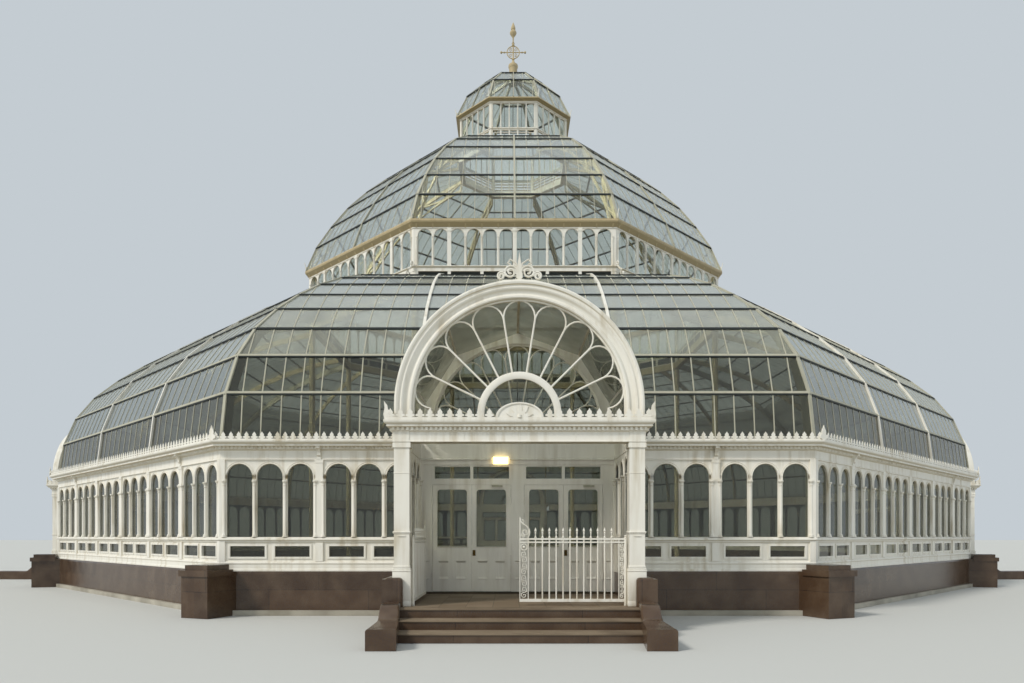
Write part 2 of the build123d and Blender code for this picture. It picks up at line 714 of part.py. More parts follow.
def lantern():
    pitch = between_posts(LANTERN_OUT, LANTERN_POST_HALF) / LANTERN_LIGHT_COUNT
    half = (pitch - LANTERN_MULLION) / 2.0
    low, high = LANTERN_BASE + LANTERN_SILL, LANTERN_TOP - LANTERN_HEAD
    holes = []
    for place in range(LANTERN_LIGHT_COUNT):
        centre = (place - (LANTERN_LIGHT_COUNT - 1) / 2.0) * pitch
        holes.append(box_outline(centre - half, centre + half, low, high))
    return storey(LANTERN_OUT, LANTERN_BASE, LANTERN_TOP, LANTERN_THICK, LANTERN_POST_HALF, holes)


def lantern_ring():
    """The curb at the head of the upper roof, under the lantern."""
    profile = box_outline(
        LANTERN_OUT - LANTERN_THICK * 2.0,
        UPPER_LINE[-1][0],
        LANTERN_BASE - LANTERN_RING_HEIGHT,
        LANTERN_BASE,
    )
    reach = UPPER_LINE[-1][0] * math.tan(HALF_TURN)
    return turned(cut_to(sector(MITRE_GAP / 2.0), run(profile, -reach, reach)), ALL_SIDES)


def lantern_cap():
    """The ring at the lantern roof's tip, and the drum of the finial on it."""
    return octagon(LANTERN_LINE[-1][0], ROOF_TIP - LANTERN_RIB_DEPTH * 2.0, ROOF_TIP + HIP_RISE)


def turned_shape(rings):
    """A many-sided turning, from its radii and heights, the first and the last of them flat ends."""
    whole = None
    for (low_radius, low), (high_radius, high) in zip(rings, rings[1:]):
        ends = []
        for radius, height in ((low_radius, low), (high_radius, high)):
            outline = arc(0, 0, radius, 0, 360.0, ROUND_STEPS)[:-1]
            ends.append(Pos(0, 0, height) * flat(outline))
        piece = Solid.make_loft([end.outer_wire() for end in ends], True)
        whole = piece if whole is None else whole + piece
    return whole


def finial():
    """A drum, a ringed cross with square arms, and a torch above it."""
    base = ROOF_TIP + HIP_RISE
    bell = base + FINIAL_DRUM_HEIGHT
    neck = bell + FINIAL_BELL_HEIGHT
    stem_foot = neck + FINIAL_NECK_HEIGHT
    middle = stem_foot + CROSS_CLIMB
    torch = middle + TORCH_CLIMB
    flame = torch + 2.0 * TORCH_RADIUS
    rings = [
        (FINIAL_RADIUS, base),
        (FINIAL_RADIUS, bell),
        (FINIAL_BELL_RADIUS, neck),
        (STEM_RADIUS, stem_foot),
        (STEM_RADIUS, torch),
        (TORCH_RADIUS, torch + TORCH_RADIUS),
        (TORCH_NECK_RADIUS, flame),
        (FLAME_TIP_RADIUS, flame + FLAME_HEIGHT),
    ]
    stem = turned_shape(rings)
    half = CROSS_BAR / 2.0
    bar = block(-CROSS_HALF, CROSS_HALF, -half, half, middle - half, middle + half)
    outer = arc(0, middle, CROSS_RING, 0, 360, CROSS_RING_STEPS)[:-1]
    inner = arc(0, middle, CROSS_RING - CROSS_BAR, 0, 360, CROSS_RING_STEPS)[:-1]
    ring = panel(outer, (inner,), half, CROSS_BAR)
    return solids_of(stem + bar + ring)


def porch_ground():
    """Porch floors, the steps up to them, the cheek walls and the granite beside the porch."""
    floor = block(-PIER_OUTER, PIER_OUTER, SLAB_EDGE, PORCH_EDGE, 0, FLOOR_HEIGHT)
    rise = FLOOR_HEIGHT / len(STEP_TREADS)
    nosing, top = PORCH_EDGE, FLOOR_HEIGHT
    profile = [(PORCH_EDGE, 0), (PORCH_EDGE, FLOOR_HEIGHT)]
    for tread in STEP_TREADS:
        nosing += tread
        profile += [(nosing, top), (nosing, top - rise)]
        top -= rise
    steps = run(profile, -STEPS_HALF, STEPS_HALF)
    ramp_end = CHEEK_FRONT - CHEEK_BLOCK_LENGTH
    ramp = []
    for step in range(RAMP_STEPS + 1):
        share = step / RAMP_STEPS
        height = CHEEK_BLOCK_HEIGHT + CHEEK_RISE * (1 - math.cos(math.pi * share)) / 2.0
        ramp.append((ramp_end + (PORCH_EDGE + CHEEK_RAMP_LAP - ramp_end) * share, height))
    cheek_outline = [(PORCH_EDGE, 0), (CHEEK_FRONT, 0), (CHEEK_FRONT, CHEEK_BLOCK_HEIGHT)]
    cheek_outline += ramp + [(PORCH_EDGE, CHEEK_TOP)]
    cheek = run(cheek_outline, STEPS_HALF, CHEEK_OUTER)
    side = block(PIER_OUTER, SIDE_PLINTH_OUTER, SLAB_EDGE, PORCH_EDGE, 0, PLINTH_HEIGHT)
    return (
        turned(floor, ENTRANCE_SIDES),
        turned(steps, ENTRANCE_SIDES),
        turned(solids_of(cheek) + mirrored(cheek), ENTRANCE_SIDES),
        turned(solids_of(side) + mirrored(side), ENTRANCE_SIDES),
    )


def porch_side_walls():
    """Side walls of a porch with their arched lights, and the sheet of glass in each."""
    length = PIER_BACK - WALL_OUT
    middle = WALL_OUT + length / 2.0
    holes = []
    for place in range(PORCH_LIGHT_COUNT):
        centre = middle + (place - (PORCH_LIGHT_COUNT - 1) / 2.0) * PORCH_LIGHT_PITCH
        width = PORCH_LIGHT_PITCH - PORCH_MULLION
        holes.append(arched_outline(centre, width, SILL_TOP, LIGHT_SPRING, HEAD_STEPS))
    inner, width = PORCH_WALL_INNER, 2.0 * PORCH_WALL_HALF
    plane = Plane(origin=(inner + width, 0, 0), x_dir=(0, -1, 0), z_dir=(-1, 0, 0))
    outline = box_outline(WALL_OUT, PIER_BACK, FLOOR_HEIGHT, WALL_TOP)
    wall = Solid.extrude(plane * flat(outline, holes), Vector(-width, 0, 0))
    strip = block(inner + width, PIER_OUTER, WALL_OUT, PIER_BACK, PLINTH_HEIGHT, BASE_TOP)
    start = WALL_OUT + FRIEZE_OUT
    glass = block(inner - GLASS_THICK, inner, start, PIER_BACK, SILL_BOTTOM, WALL_TOP)
    walls = solids_of(wall + strip)
    return (
        turned(walls + mirrored(walls), ENTRANCE_SIDES),
        turned(solids_of(glass) + mirrored(glass), ENTRANCE_SIDES),
    )


def porch_piers():
    over = PIER_BASE_OUT
    shaft = block(PIER_INNER, PIER_OUTER, PIER_BACK, PIER_FRONT, FLOOR_HEIGHT, WALL_TOP)
    foot_top = FLOOR_HEIGHT + PIER_BASE_HEIGHT
    foot = block(PIER_INNER - over, PIER_OUTER, PIER_BACK, PIER_FRONT + over, FLOOR_HEIGHT, foot_top)
    cap = block(
        PIER_INNER - over, PIER_OUTER + over, PIER_BACK, PIER_FRONT + over, WALL_TOP - PIER_CAP, WALL_TOP
    )
    pier = solids_of(shaft + foot + cap)
    return turned(pier + mirrored(pier), ENTRANCE_SIDES)


def porch_beams():
    """The entablature on the piers and side walls of a porch."""
    bed = FRIEZE_TOP + BEAM_BED
    frieze_out = PIER_OUTER + BEAM_FRIEZE_OUT
    cornice_front = PIER_FRONT + BEAM_CORNICE_OUT
    front = block(-frieze_out, frieze_out, PIER_BACK, PIER_FRONT + BEAM_FRIEZE_OUT, WALL_TOP, bed)
    front_top = block(-BEAM_SIDE_OUTER, BEAM_SIDE_OUTER, PIER_BACK, cornice_front, bed, CORNICE_TOP)
    side = block(PORCH_WALL_INNER, frieze_out, WALL_IN, PIER_BACK, WALL_TOP, bed)
    side_top = block(PORCH_WALL_INNER, BEAM_SIDE_OUTER, WALL_IN, PIER_BACK, bed, CORNICE_TOP)
    sides = solids_of(side + side_top)
    return (
        turned(front + front_top, ENTRANCE_SIDES),
        turned(sides + mirrored(sides), ENTRANCE_SIDES),
    )


def arch_ring(inner, outer, steps):
    """A round arch stilted down to the cornice, as an outline."""
    outside = [(outer, CORNICE_TOP)] + arc(0, ARCH_CENTRE, outer, 0, 180, steps) + [(-outer, CORNICE_TOP)]
    inside = [(inner, CORNICE_TOP)] + arc(0, ARCH_CENTRE, inner, 0, 180, steps) + [(-inner, CORNICE_TOP)]
    return outside + inside[::-1]


def porch_arches():
    """The great moulded arch on each porch's front beam."""
    front = PIER_FRONT - BEAM_FRIEZE_OUT
    ring = panel(arch_ring(ARCH_INNER, ARCH_OUTER, ARCH_STEPS), (), front, ARCH_THICK)
    roll = arch_ring(ARCH_OUTER - ARCH_ROLL, ARCH_OUTER, ARCH_STEPS)
    moulding = panel(roll, (), front + ARCH_ROLL_OUT, ARCH_ROLL_OUT)
    return turned(ring + moulding, ENTRANCE_SIDES)


def porch_fanlights():
    """The fan of bars in each great arch, fused where the bars meet the rim and the half ring."""
    front = PIER_FRONT - BEAM_FRIEZE_OUT - FAN_SET_BACK
    rim = panel(arch_ring(ARCH_INNER - FAN_RIM, ARCH_INNER, ARCH_STEPS), (), front, FAN_THICK)
    ring_outline = arc(0, FAN_RING_CENTRE, FAN_RING_OUTER, 0, 180, FAN_RING_STEPS)
    ring_outline = [(FAN_RING_OUTER, CORNICE_TOP)] + ring_outline + [(-FAN_RING_OUTER, CORNICE_TOP)]
    ring_inside = arc(0, FAN_RING_CENTRE, FAN_RING_INNER, 0, 180, FAN_RING_STEPS)
    ring_inside = [(FAN_RING_INNER, CORNICE_TOP)] + ring_inside + [(-FAN_RING_INNER, CORNICE_TOP)]
    fan = rim + panel(ring_outline + ring_inside[::-1], (), front, FAN_THICK)
    start = (FAN_RING_INNER + FAN_RING_OUTER) / 2.0
    for place in range(FAN_BAR_COUNT):
        angle = 180.0 * (place + 1) / (FAN_BAR_COUNT + 1)
        turn = math.radians(angle)
        across = (-math.sin(turn) * FAN_BAR / 2.0, math.cos(turn) * FAN_BAR / 2.0)
        near = (start * math.cos(turn), FAN_RING_CENTRE + start * math.sin(turn))
        reach = ARCH_INNER - FAN_RIM / 2.0
        far = (reach * math.cos(turn), ARCH_CENTRE + reach * math.sin(turn))
        bar = [
            (near[0] + across[0], near[1] + across[1]),
            (near[0] - across[0], near[1] - across[1]),
            (far[0] - across[0], far[1] - across[1]),
            (far[0] + across[0], far[1] + across[1]),
        ]
        fan = fan + panel(bar, (), front, FAN_THICK)
    return turned(fan, ENTRANCE_SIDES)


def vaults():
    """The glazed barrel behind each great arch: its inner arch, ribs and glass."""
    back = PIER_FRONT - BEAM_FRIEZE_OUT - ARCH_THICK
    inner_hole = [(-INNER_ARCH_RADIUS, CORNICE_TOP), (INNER_ARCH_RADIUS, CORNICE_TOP)]
    inner_hole += arc(0, ARCH_CENTRE, INNER_ARCH_RADIUS, 0, 180, INNER_ARCH_STEPS)
    outline = vault_outline(VAULT_RADIUS)
    frame = solids_of(
        panel(outline, (), WALL_OUT, WALL_THICK) - panel(inner_hole, (), WALL_OUT, WALL_THICK)
    )
    glass = panel(inner_hole, (), WALL_IN, GLASS_THICK)
    roof = [(0, LOWER_LINE[0][1])] + shifted(LOWER_LINE, ROOF_GLASS) + [(0, LOWER_LINE[-1][1])]
    inside = run(roof, -PIER_OUTER, PIER_OUTER)
    middles, ribs = [], []
    corners = outline[1:] + outline[:1]
    length = back - CLERESTORY_OUT
    for start, end in zip(corners, corners[1:]):
        reach = math.dist(start, end)
        along = ((end[0] - start[0]) / reach, (end[1] - start[1]) / reach)
        out = (along[1] * VAULT_GLASS, -along[0] * VAULT_GLASS)
        first = (start[0] + along[0] * VAULT_RIB_HALF, start[1] + along[1] * VAULT_RIB_HALF)
        last = (end[0] - along[0] * VAULT_RIB_HALF, end[1] - along[1] * VAULT_RIB_HALF)
        sheet = [first, last, (last[0] + out[0], last[1] + out[1]), (first[0] + out[0], first[1] + out[1])]
        middles.append(panel(sheet, (), back, length))
    for angle in VAULT_ANGLES[1:-1]:
        turn = math.radians(angle)
        across = (-math.sin(turn) * VAULT_RIB_HALF, math.cos(turn) * VAULT_RIB_HALF)
        low, high = VAULT_RADIUS, VAULT_RADIUS + VAULT_RIB_DEPTH
        bar = []
        for radius, side in ((low, 1), (low, -1), (high, -1), (high, 1)):
            bar.append(
                (
                    radius * math.cos(turn) + side * across[0],
                    ARCH_CENTRE + radius * math.sin(turn) + side * across[1],
                )
            )
        ribs.append(panel(bar, (), back, length))
    sheets = solids_of([sheet - inside for sheet in middles])
    bars = solids_of([bar - inside for bar in ribs])
    return (
        turned(frame, ENTRANCE_SIDES),
        turned(glass, ENTRANCE_SIDES),
        turned(sheets, ENTRANCE_SIDES),
        turned(bars, ENTRANCE_SIDES),
    )


def barrel(place, side, height, upper):
    """Half of a butt hinge: its barrel, and the flap that is fixed beside it."""
    distance = WALL_OUT + BARREL_RADIUS
    bottom = height + BARREL_GAP if upper else height - BARREL_HEIGHT
    ring = arc(place, -distance, BARREL_RADIUS, 0, 360.0, ROUND_STEPS)[:-1]
    pin = prism(ring, bottom, bottom + BARREL_HEIGHT)
    ends = sorted((place + side * DOOR_GAP / 2.0, place + side * FLAP_LENGTH))
    flap = block(ends[0], ends[1], WALL_OUT, WALL_OUT + FLAP_THICK, bottom, bottom + BARREL_HEIGHT)
    return pin + flap


def door_frames():
    """Sills, posts, transoms and lintels of the four entrances."""
    side, back = PORCH_WALL_INNER, WALL_OUT - DOOR_FRAME_THICK
    sill = block(-side, side, back, WALL_OUT + DOOR_SILL_OUT, FLOOR_HEIGHT, DOOR_SILL_TOP)
    mullion = block(-MULLION_HALF, MULLION_HALF, back, WALL_OUT, DOOR_SILL_TOP, TRANSOM_TOP)
    jamb = block(JAMB_INNER, side, back, WALL_OUT, DOOR_SILL_TOP, TRANSOM_TOP)
    posts = solids_of(mullion) + solids_of(jamb) + mirrored(jamb)
    front_mullion, front_jamb = mullion, jamb
    for height in HINGE_HEIGHTS:
        front_jamb = front_jamb + barrel(HINGE_PLACES[0], 1, height, False)
        front_mullion = front_mullion + barrel(HINGE_PLACES[1], -1, height, False)
        front_mullion = front_mullion + barrel(-HINGE_PLACES[1], 1, height, False)
    front_posts = solids_of(front_mullion) + solids_of(front_jamb) + mirrored(front_jamb)
    light_bottom, light_top = TRANSOM_BOTTOM + TRANSOM_RAIL, TRANSOM_TOP - TRANSOM_HEAD
    edge = TRANSOM_HEAD
    lights = (
        box_outline(MULLION_HALF + edge, LEAVES_MEET - TRANSOM_BAR / 2.0, light_bottom, light_top),
        box_outline(LEAVES_MEET + TRANSOM_BAR / 2.0, JAMB_INNER - edge, light_bottom, light_top),
    )
    outline = box_outline(MULLION_HALF, JAMB_INNER, TRANSOM_BOTTOM, TRANSOM_TOP)
    transom = panel(outline, lights, WALL_OUT, DOOR_FRAME_THICK - LEAF_PANE)
    pane = block(MULLION_HALF, JAMB_INNER, back, back + LEAF_PANE, light_bottom - edge, TRANSOM_TOP)
    lintel = block(-side, side, back, WALL_OUT + FRIEZE_OUT, TRANSOM_TOP, CORNICE_TOP)
    return {
        "door_sills": turned(sill, ENTRANCE_SIDES),
        "door_posts": front_posts + turned(posts, FIXED_ENTRANCES),
        "door_transoms": turned(solids_of(transom) + mirrored(transom), ENTRANCE_SIDES),
        "door_glass": turned(solids_of(pane) + mirrored(pane), ENTRANCE_SIDES),
        "door_lintels": turned(lintel, ENTRANCE_SIDES),
    }


def door_leaf(left, right, bottom, top):
    """A leaf with one glazed light over two sunk panels, and the pane behind the light."""
    glass_left, glass_right = left + STILE, right - STILE
    panel_bottom = DOOR_BOTTOM + BOTTOM_RAIL
    panel_top = panel_bottom + PANEL_HEIGHT
    glass_bottom, glass_top = panel_top + LOCK_RAIL, DOOR_TOP - TOP_RAIL
    corner_left, corner_right = glass_left + LEAF_CORNER, glass_right - LEAF_CORNER
    corner = glass_top - LEAF_CORNER
    light = [(glass_left, glass_bottom), (glass_right, glass_bottom)]
    light += arc(corner_right, corner, LEAF_CORNER, 0, 90, LEAF_CORNER_STEPS)
    light += arc(corner_left, corner, LEAF_CORNER, 90, 180, LEAF_CORNER_STEPS)
    leaf = panel(box_outline(left, right, bottom, top), (light,), WALL_OUT, LEAF_THICK)
    middle = (left + right) / 2.0
    half = PANEL_BAR / 2.0
    for ends in ((left + PANEL_SIDE, middle - half), (middle + half, right - PANEL_SIDE)):
        sunk = block(ends[0], ends[1], WALL_OUT - PANEL_DEEP, WALL_OUT, panel_bottom, panel_top)
        leaf = leaf - sunk
    inner = WALL_OUT - LEAF_THICK
    low, high = glass_bottom - PANE_LAP, glass_top + PANE_LAP
    pane = block(glass_left - PANE_LAP, glass_right + PANE_LAP, inner - LEAF_PANE, inner, low, high)
    return leaf, pane


def front_doors():
    """The four leaves of the main entrance, each on its own hinges."""
    gap = DOOR_GAP / 2.0
    outer, outer_pane = door_leaf(LEAVES_MEET + gap, JAMB_INNER - DOOR_GAP, DOOR_BOTTOM, DOOR_TOP)
    inner, inner_pane = door_leaf(MULLION_HALF + DOOR_GAP, LEAVES_MEET - gap, DOOR_BOTTOM, DOOR_TOP)
    for height in HINGE_HEIGHTS:
        outer = outer + barrel(HINGE_PLACES[0], -1, height, True)
        inner = inner + barrel(HINGE_PLACES[1], 1, height, True)
    return {
        "outer_right_door": solids_of(outer),
        "inner_right_door": solids_of(inner),
        "outer_left_door": mirrored(outer),
        "inner_left_door": mirrored(inner),
        "outer_right_pane": solids_of(outer_pane),
        "inner_right_pane": solids_of(inner_pane),
        "outer_left_pane": mirrored(outer_pane),
        "inner_left_pane": mirrored(inner_pane),
    }


def fixed_doors():
    """The shut leaves of the three entrances that aren't seen from the front."""
    gap = DOOR_GAP / 2.0
    leaves, panes = [], []
    for left, right in ((MULLION_HALF, LEAVES_MEET - gap), (LEAVES_MEET + gap, JAMB_INNER)):
        leaf, pane = door_leaf(left, right, DOOR_SILL_TOP, TRANSOM_BOTTOM)
        leaves += solids_of(leaf) + mirrored(leaf)
        panes += solids_of(pane) + mirrored(pane)
    return turned(leaves, FIXED_ENTRANCES), turned(panes, FIXED_ENTRANCES)


def porch_lamp():
    front = WALL_OUT + FRIEZE_OUT
    left, right = LAMP_PLACE - LAMP_WIDTH / 2.0, LAMP_PLACE + LAMP_WIDTH / 2.0
    bottom = TRANSOM_TOP + LAMP_RAISE
    return solids_of(block(left, right, front, front + LAMP_DEPTH, bottom, bottom + LAMP_HEIGHT))


def right_gate():
    """A gate leaf drawn shut: bars with spikes between two rails, on a round stile that turns."""
    meeting = DOOR_GAP / 2.0
    stop = GATE_PIVOT
    first = meeting + GATE_MEETING_WIDTH
    pitch = (stop - first) / GATE_BAR_COUNT
    outline = [(meeting, GATE_BOTTOM), (stop, GATE_BOTTOM), (stop, GATE_TOP)]
    holes = []
    for place in reversed(range(1, GATE_BAR_COUNT)):
        centre = first + place * pitch
        half = GATE_BAR_WIDTH / 2.0
        outline += [(centre + half, GATE_TOP), (centre, GATE_TOP + GATE_SPIKE), (centre - half, GATE_TOP)]
    outline += [
        (first, GATE_TOP),
        (meeting + GATE_MEETING_WIDTH / 2.0, GATE_TOP + GATE_MEETING_RISE),
        (meeting, GATE_TOP),
    ]
    for place in range(GATE_BAR_COUNT):
        left = first + place * pitch + GATE_BAR_WIDTH / 2.0
        right = first + (place + 1) * pitch - GATE_BAR_WIDTH / 2.0
        right = min(right, stop - GATE_STILE_RADIUS)
        holes.append(box_outline(left, right, GATE_BOTTOM + GATE_RAIL, GATE_TOP - GATE_RAIL))
    leaf = panel(outline, holes, GATE_PLANE + GATE_THICK / 2.0, GATE_THICK)
    foot = FLOOR_HEIGHT + GATE_FOOT_GAP
    ring = arc(GATE_PIVOT, -GATE_PLANE, GATE_STILE_RADIUS, 0, 360.0, ROUND_STEPS)[:-1]
    return leaf + prism(ring, foot, GATE_TOP + GATE_RAIL)


def gates():
    """The right leaf stands shut and the left one open, turned a quarter inwards on its stile."""
    right = right_gate()
    left = mirrored(right)
    pivot = Axis((-GATE_PIVOT, -GATE_PLANE, 0), (0, 0, 1))
    return {
        "right_gate": solids_of(right),
        "left_gate": [leaf.rotate(pivot, 90.0) for leaf in left],
    }


def build():
    nodes = {"floor_slab": solids_of(octagon(SLAB_EDGE, 0, FLOOR_HEIGHT))}
    nodes["granite_plinth"], nodes["stone_kerb"] = plinth_and_kerb()
    nodes["corner_pedestals"] = corner_pedestals()
    nodes["arcade_walls"], nodes["wall_glass"] = lower_wall()
    nodes["corner_posts"] = corner_posts()
    nodes["eaves_cornice"] = eaves_cornice()
    nodes["lower_hip_ribs"] = hip_ribs(LOWER_LINE, HIP_RISE, HIP_DEPTH)
    nodes["principal_ribs"] = principal_ribs()
    nodes["lower_roof_glass"] = lower_roof_glass()
    nodes["inner_columns"], nodes["ring_beam"] = inner_frame()
    walls, glass, posts = clerestory()
    nodes["clerestory_walls"], nodes["clerestory_glass"], nodes["clerestory_posts"] = walls, glass, posts
    nodes["clerestory_cornice"] = storey_cornice(
        CLERESTORY_OUT,
        CLERESTORY_IN,
        CLERESTORY_TOP,
        CLERESTORY_CORNICE_TOP,
        CLERESTORY_CORNICE_OUT,
        CLERESTORY_CORNICE_LIP,
    )
    nodes["upper_ribs"] = upper_ribs()
    nodes["upper_roof_glass"] = upper_roof_glass()
    nodes["lantern_ring"] = lantern_ring()
    walls, glass, posts = lantern()
    nodes["lantern_walls"], nodes["lantern_glass"], nodes["lantern_posts"] = walls, glass, posts
    nodes["lantern_cornice"] = storey_cornice(
        LANTERN_OUT,
        LANTERN_OUT - LANTERN_THICK,
        LANTERN_TOP,
        LANTERN_CORNICE_TOP,
        LANTERN_CORNICE_OUT,
        LANTERN_CORNICE_LIP,
    )
    nodes["lantern_ribs"] = hip_ribs(LANTERN_LINE, HIP_RISE, LANTERN_RIB_DEPTH)
    nodes["lantern_roof_glass"] = turned(glass_courses(LANTERN_LINE, ROOF_GLASS), ALL_SIDES)
    nodes["lantern_cap"] = solids_of(lantern_cap())
    nodes["finial"] = finial()
    floors, steps, cheeks, plinths = porch_ground()
    nodes["porch_floors"], nodes["porch_steps"], nodes["step_cheeks"] = floors, steps, cheeks
    nodes["porch_side_plinths"] = plinths
    nodes["porch_side_walls"], side_glass = porch_side_walls()
    nodes["wall_glass"] += side_glass
    nodes["porch_piers"] = porch_piers()
    nodes["porch_front_beams"], nodes["porch_side_beams"] = porch_beams()
    nodes["porch_arches"] = porch_arches()
    nodes["porch_fanlights"] = porch_fanlights()
    frames, fan_glass, vault_glass, vault_ribs = vaults()
    nodes["vault_arches"], nodes["fan_glass"] = frames, fan_glass
    nodes["vault_glass"], nodes["vault_ribs"] = vault_glass, vault_ribs
    nodes.update(door_frames())
    nodes["fixed_doors"], panes = fixed_doors()
    nodes["door_glass"] += panes
    nodes.update(front_doors())
    nodes["porch_lamp"] = porch_lamp()
    nodes.update(gates())
    return nodes


os.makedirs("parts", exist_ok=True)
for name, solids in build().items():
    export_step(Compound(solids_of(solids)), f"parts/{name}.step")
    print(name, len(solids_of(solids)))
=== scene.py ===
# %% [markdown]
# # A great domed glasshouse
# The real building is an octagon of white-painted cast iron and glass on a granite plinth. Its roof
# climbs in three tiers to a finial, and an arched porch stands on every second side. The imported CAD
# model gives the frame: every piece below is fitted to it, in metres, in the same axes.

# %% Load the frame
import functools
import json
import math

import bmesh
import bpy
from mathutils import Matrix, Vector


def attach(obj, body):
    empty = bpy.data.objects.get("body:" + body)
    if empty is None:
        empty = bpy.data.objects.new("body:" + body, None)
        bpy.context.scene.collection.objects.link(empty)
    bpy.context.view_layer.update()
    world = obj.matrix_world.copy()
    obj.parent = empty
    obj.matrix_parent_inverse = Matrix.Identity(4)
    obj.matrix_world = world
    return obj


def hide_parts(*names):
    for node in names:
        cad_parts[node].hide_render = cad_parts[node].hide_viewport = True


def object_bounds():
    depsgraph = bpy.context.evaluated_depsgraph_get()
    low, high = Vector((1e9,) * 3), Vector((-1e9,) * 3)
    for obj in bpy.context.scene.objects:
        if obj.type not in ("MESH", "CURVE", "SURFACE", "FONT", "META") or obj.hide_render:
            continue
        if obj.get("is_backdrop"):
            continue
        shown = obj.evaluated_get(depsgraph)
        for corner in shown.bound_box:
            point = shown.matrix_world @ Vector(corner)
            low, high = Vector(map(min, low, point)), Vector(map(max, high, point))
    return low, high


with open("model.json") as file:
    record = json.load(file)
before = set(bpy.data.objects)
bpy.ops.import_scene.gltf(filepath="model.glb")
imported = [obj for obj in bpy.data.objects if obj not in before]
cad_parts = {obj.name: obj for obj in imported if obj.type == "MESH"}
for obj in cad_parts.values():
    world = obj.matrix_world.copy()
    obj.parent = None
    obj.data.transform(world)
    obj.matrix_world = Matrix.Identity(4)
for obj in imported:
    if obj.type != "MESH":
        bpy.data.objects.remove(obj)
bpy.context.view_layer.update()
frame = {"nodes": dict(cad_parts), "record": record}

# %% [markdown]
# ## The sizes that the pieces share
# All eight sides are alike, so each shape is drawn once on the front side, which looks towards -Y.
# There u runs along the wall, r is the distance from the middle, and z is the height. A roof line is
# a list of (r, z) points: each glazed course climbs at its own slope, and all courses are as long as
# the span asks.

# %% Sizes
TURN = math.radians(45)
TAN = math.tan(TURN / 2)
COS = math.cos(TURN / 2)
ENTRANCES, PLAIN, ALL = (0, 2, 4, 6), (1, 3, 5, 7), range(8)
BAY = 2.032
WALL = 3 * BAY / TAN
BASE, BASE_TOP, SILL, SILL_TOP = 0.9, 1.1, 1.487, 1.6
COLUMN_TOP, SPRING, WALL_TOP = 2.76, 2.838, 3.185
DENTIL_FOOT, DENTIL_TOP, EAVES = 3.398, 3.447, 3.562
FLOOR = 0.437
PANE = 0.4064
SKIN = 0.03
PIER, PIER_WIDTH = BAY + 0.084, 0.262
PIER_FRONT = WALL + 2.693
PIER_BACK = PIER_FRONT - PIER_WIDTH
PORCH_BEAM_SIDE = PIER + 0.154
ARCH_CENTRE = EAVES + 0.261
ARCH_INNER = PIER - 0.305
VAULT = PIER - 0.16
INNER_ARCH = VAULT - 0.23
STEP_TREADS = (0.28, 0.4, 0.45)


def roof_line(r, z, slopes, end, first_share=1.0):
    shares = [first_share] + [1.0] * (len(slopes) - 1)
    angles = [math.radians(slope) for slope in slopes]
    course = (r - end) / sum(share * math.cos(angle) for share, angle in zip(shares, angles))
    line = [(r, z)]
    for share, angle in zip(shares, angles):
        r -= course * share * math.cos(angle)
        z += course * share * math.sin(angle)
        line.append((r, z))
    return line


STOREY = 7.4513
LOWER = roof_line(WALL - 0.017, EAVES, (83, 70, 55.5, 44, 38, 34, 29, 24, 19.5, 15.5, 12), STOREY, 1.122)
STOREY_BASE = LOWER[-1][1]
STOREY_TOP = STOREY_BASE + 1.662
STOREY_EAVES = STOREY_TOP + 0.222
UPPER = roof_line(STOREY + 0.096, STOREY_EAVES, (69, 59.5, 55, 48, 42, 34, 26.5, 20), 2.1697)
LANTERN = 2.0897
LANTERN_BASE = UPPER[-1][1]
LANTERN_TOP = LANTERN_BASE + 1.564
LANTERN_EAVES = LANTERN_TOP + 0.088
CAP = roof_line(LANTERN + 0.134, LANTERN_EAVES, (65.5, 45, 23.5), 0.183)
TIP = CAP[-1][1] + 0.03
print("tiers:", round(LOWER[1][1], 3), round(STOREY_BASE, 3), round(LANTERN_BASE, 3), round(TIP, 3))

# %% [markdown]
# ## Shaping tools
# Small helpers give places, turns and flat outlines. An outline is a list of points that can be moved
# and mirrored before it is drawn.

# %% Places and outlines


def verts_of(geometry):
    return [item for item in geometry if isinstance(item, bmesh.types.BMVert)]


def faces_of(geometry):
    return [item for item in geometry if isinstance(item, bmesh.types.BMFace)]


def at(u=0, r=0, z=0):
    """The move to a place on the front side."""
    return Matrix.Translation((u, -r, z))


def turned(angle, axis="Z"):
    return Matrix.Rotation(angle, 4, axis)


def shifted(points, across, up=0, way=1):
    """A flat outline moved, and mirrored where way is -1."""
    return [(way * (across + x), up + y) for x, y in points]


def circle(centre, radius, count):
    angles = [math.tau * step / count for step in range(count)]
    return [(centre[0] + radius * math.cos(angle), centre[1] + radius * math.sin(angle)) for angle in angles]


def evenly(start, end, pitch):
    """The middles of equal steps of about one pitch between two places, and the length of a step."""
    count = round((end - start) / pitch)
    step = (end - start) / count
    return [start + (place + 0.5) * step for place in range(count)], step


def spiral(centre, start, finish, inner, outer, turns, steps=22):
    """The (u, z) points of a spiral wound inwards from its outer end. Angles are in turns."""
    points = []
    for step in range(steps + 1):
        share = step / steps
        radius = outer + (inner - outer) * share
        angle = math.tau * (start + (finish - start) * share * turns)
        points.append((centre[0] + radius * math.cos(angle), centre[1] + radius * math.sin(angle)))
    return points


print("one turn of the building is", round(math.degrees(TURN)), "degrees")

# %% [markdown]
# A bmesh operator makes each basic form: a cube for a block, an extruded face for a cut-out casting,
# a spin for a turning or an arch, and a curve's bevel for a bent rod.

# %% Forms


def block(bm, left, right, near, far, bottom, top):
    """A square-edged block on the front side: u from left to right, r from near to far."""
    size = Matrix.Diagonal((right - left, far - near, top - bottom, 1))
    place = at((left + right) / 2, (near + far) / 2, (bottom + top) / 2)
    return bmesh.ops.create_cube(bm, size=1, matrix=place @ size)["verts"]


